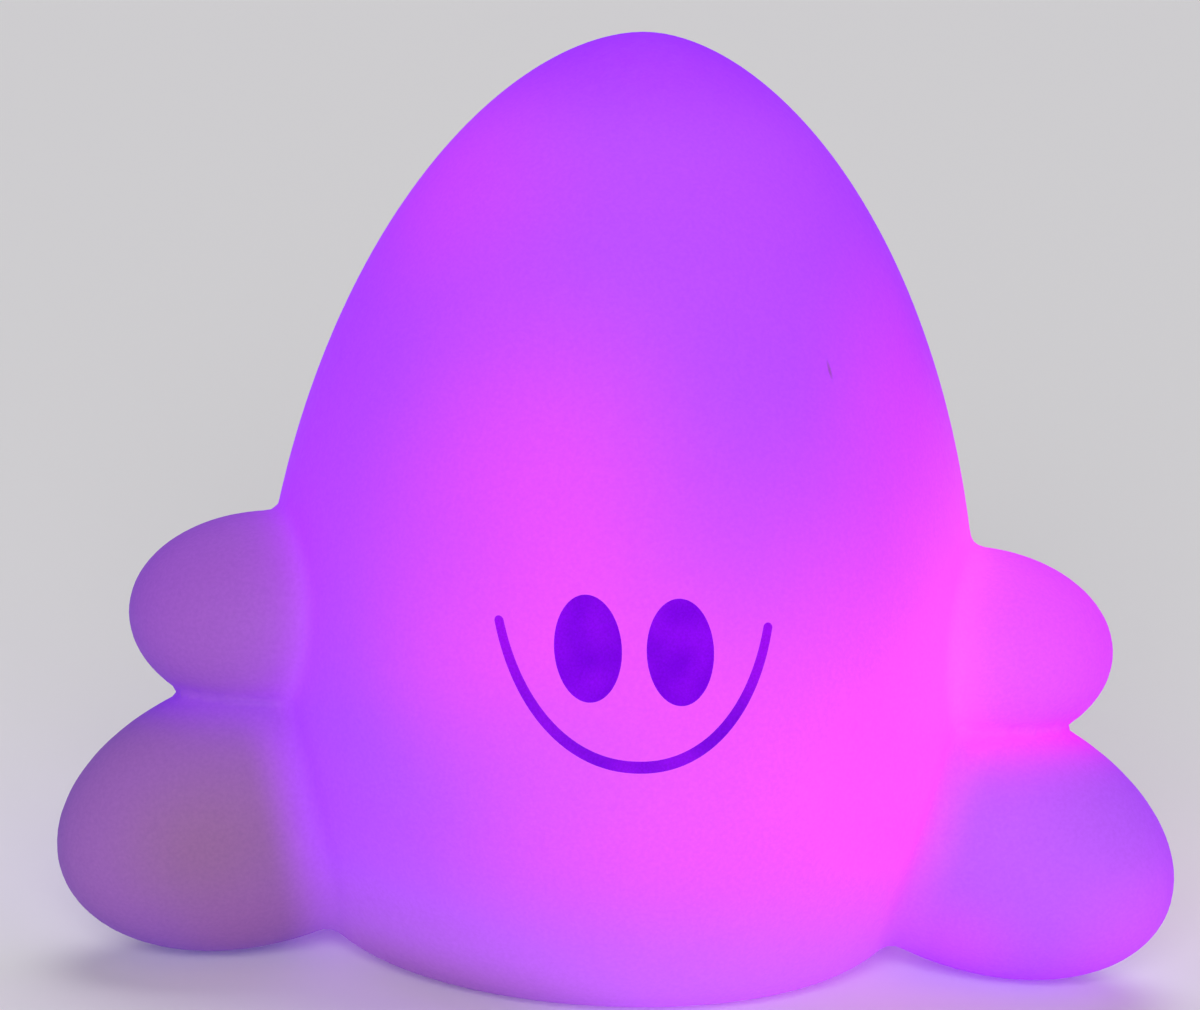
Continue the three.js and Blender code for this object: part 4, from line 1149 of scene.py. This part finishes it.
# Frosted cover: milky plastic, lit below its crown, with a fine sandblasted surface.
def makeCoverPaint():
    p = coverPaint
    made, place = newPaint("frostedCover")
    lit = overlaid(place, p["glow"], p["redZone"])
    return painted(made, {
        "Base Color": scaleColour(grainTint(place, p["colour"]), grain(place, 2, 0.95, 1)),
        "Roughness": grain(place, 0.6, 0.62, 0.78),
        "Emission Color": mixColour(rampAlong(place, "Z", *p["rimRamp"]), p["rimGlow"], lit),
        "Emission Strength": p["strength"],
        "Normal": bump(grain(place, 0.22, 0, 1, 3), 0.02, 0.8),
    })


# Slightly waxy insulation over a tinned core: the sleeve attribute says where each of them shows.
def makeLeadPaint(name, colour):
    made, place = newPaint(name)
    sleeve = shareOf(place, "sleeve")
    insulation = scaleColour(grainTint(place, colour), grain(place, 1.2, 0.88, 1))
    return painted(made, {
        "Base Color": mixColour(sleeve, (0.7, 0.68, 0.64), insulation),
        "Metallic": addNode(place, "Math", {0: 1, 1: sleeve}, operation="SUBTRACT"),
        "Roughness": grain(place, 0.6, 0.34, 0.44),
        "Normal": bump(grain(place, 0.5, 0, 1), 0.02, 0.5),
    })


def dress(paint, *pieces):
    for made in pieces:
        made.data.materials.clear()
        made.data.materials.append(paint)


# Puts a new piece in the place of a CAD node, on its body and with its material.
def finishPiece(made, node, paint, body="figure"):
    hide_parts(node)
    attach(made, body)
    dress(paint, made)
    return made


makeCamera()
makeStudio()
print("camera, floor and light are in place")

finishPiece(makeSkin(), "ghost_skin", makeSiliconePaint())
eyeInk, smileInk = makeInkPaint("eye"), makeInkPaint("smile")
finishPiece(makeEye("eye_oval_left", -1), "eye_left", eyeInk)
finishPiece(makeEye("eye_oval_right", 1), "eye_right", eyeInk)
finishPiece(makeSmile(), "smile", smileInk)
print("skin and face are made")

springPaint = makeMetalPaint("springWire", (0.72, 0.71, 0.68), 0.26, (1, 6, 6))
finishPiece(makeSpring(), "contact_spring", springPaint)
sleeveColours = {"red": (0.55, 0.012, 0.012), "black": (0.012, 0.012, 0.013), "white": (0.8, 0.8, 0.78)}
for colour, tint in sleeveColours.items():
    paint = makeLeadPaint("sleeve_" + colour, tint)
    finishPiece(makeLead(colour), "lead_" + colour, paint)
foamPad = finishPiece(makePad(), "door_pad", makeFoamPaint(), "door")
print("spring, leads and door pad are made")

cellMiddle = (0, bay["across"], bay["height"])
cellPaint = makeMetalPaint("cellNickel", (0.77, 0.76, 0.74), 0.2, "X", cellMiddle, (0.7, 0.69, 0.67))
for number in (1, 2, 3):
    finishPiece(makeCell(number), f"button_cell_{number}", cellPaint)
for colour in ("red", "blue", "green"):
    finishPiece(makeLamp(colour), "led_" + colour, makeLampPaint(colour))
canMiddle = roundPlace(can["away"], can["angle"], lamp["seat"])
canPaint = makeMetalPaint("canAluminium", (0.74, 0.75, 0.77), 0.3, "Z", canMiddle)
canObject = turnedObject("capacitor_can", can["corners"], can, canMiddle)
finishPiece(canObject, "filter_capacitor", canPaint)
finishPiece(makeCover(), "led_cover", makeCoverPaint())
print("cells, lamps, capacitor and cover are made")

resistors = ("resistor_1", "resistor_2", "resistor_3")
cadPaints = [  # paint, CAD nodes
    (makePlasticPaint("whitePlastic", (0.84, 0.83, 0.8), 0.5), ("base_plate", "base_cup", "battery_door")),
    (makePlasticPaint("blackPlastic", (0.016, 0.016, 0.018), 0.45, 0.25), ("switch_body", "switch_knob")),
    (makePlasticPaint("chipResin", (0.012, 0.012, 0.013), 0.6, 0.12, 0.01), ("controller_chip",)),
    (makePlasticPaint("resistorGlaze", (0.02, 0.019, 0.02), 0.3, 0.5, 0.006), resistors),
    (makeBoardPaint(), ("led_board",)),
    (makeMetalPaint("contactPlate", (0.72, 0.71, 0.68), 0.3, (6, 1, 6)), ("flat_contact", "spring_contact")),
]
for paint, nodes in cadPaints:
    dress(paint, *[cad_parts[n] for n in nodes])


# The middle of a CAD node's box, in millimetres.
def middleOf(name):
    low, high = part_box(name)
    return [(a + b) / 2 / mm for a, b in zip(low, high)]


for name in [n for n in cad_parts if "_screw_" in n]:
    paint = makeMetalPaint("zinc_" + name, (0.66, 0.67, 0.68), 0.32, "Z", middleOf(name), (0.6, 0.58, 0.5))
    dress(paint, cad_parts[name])
print("CAD pieces have their materials")
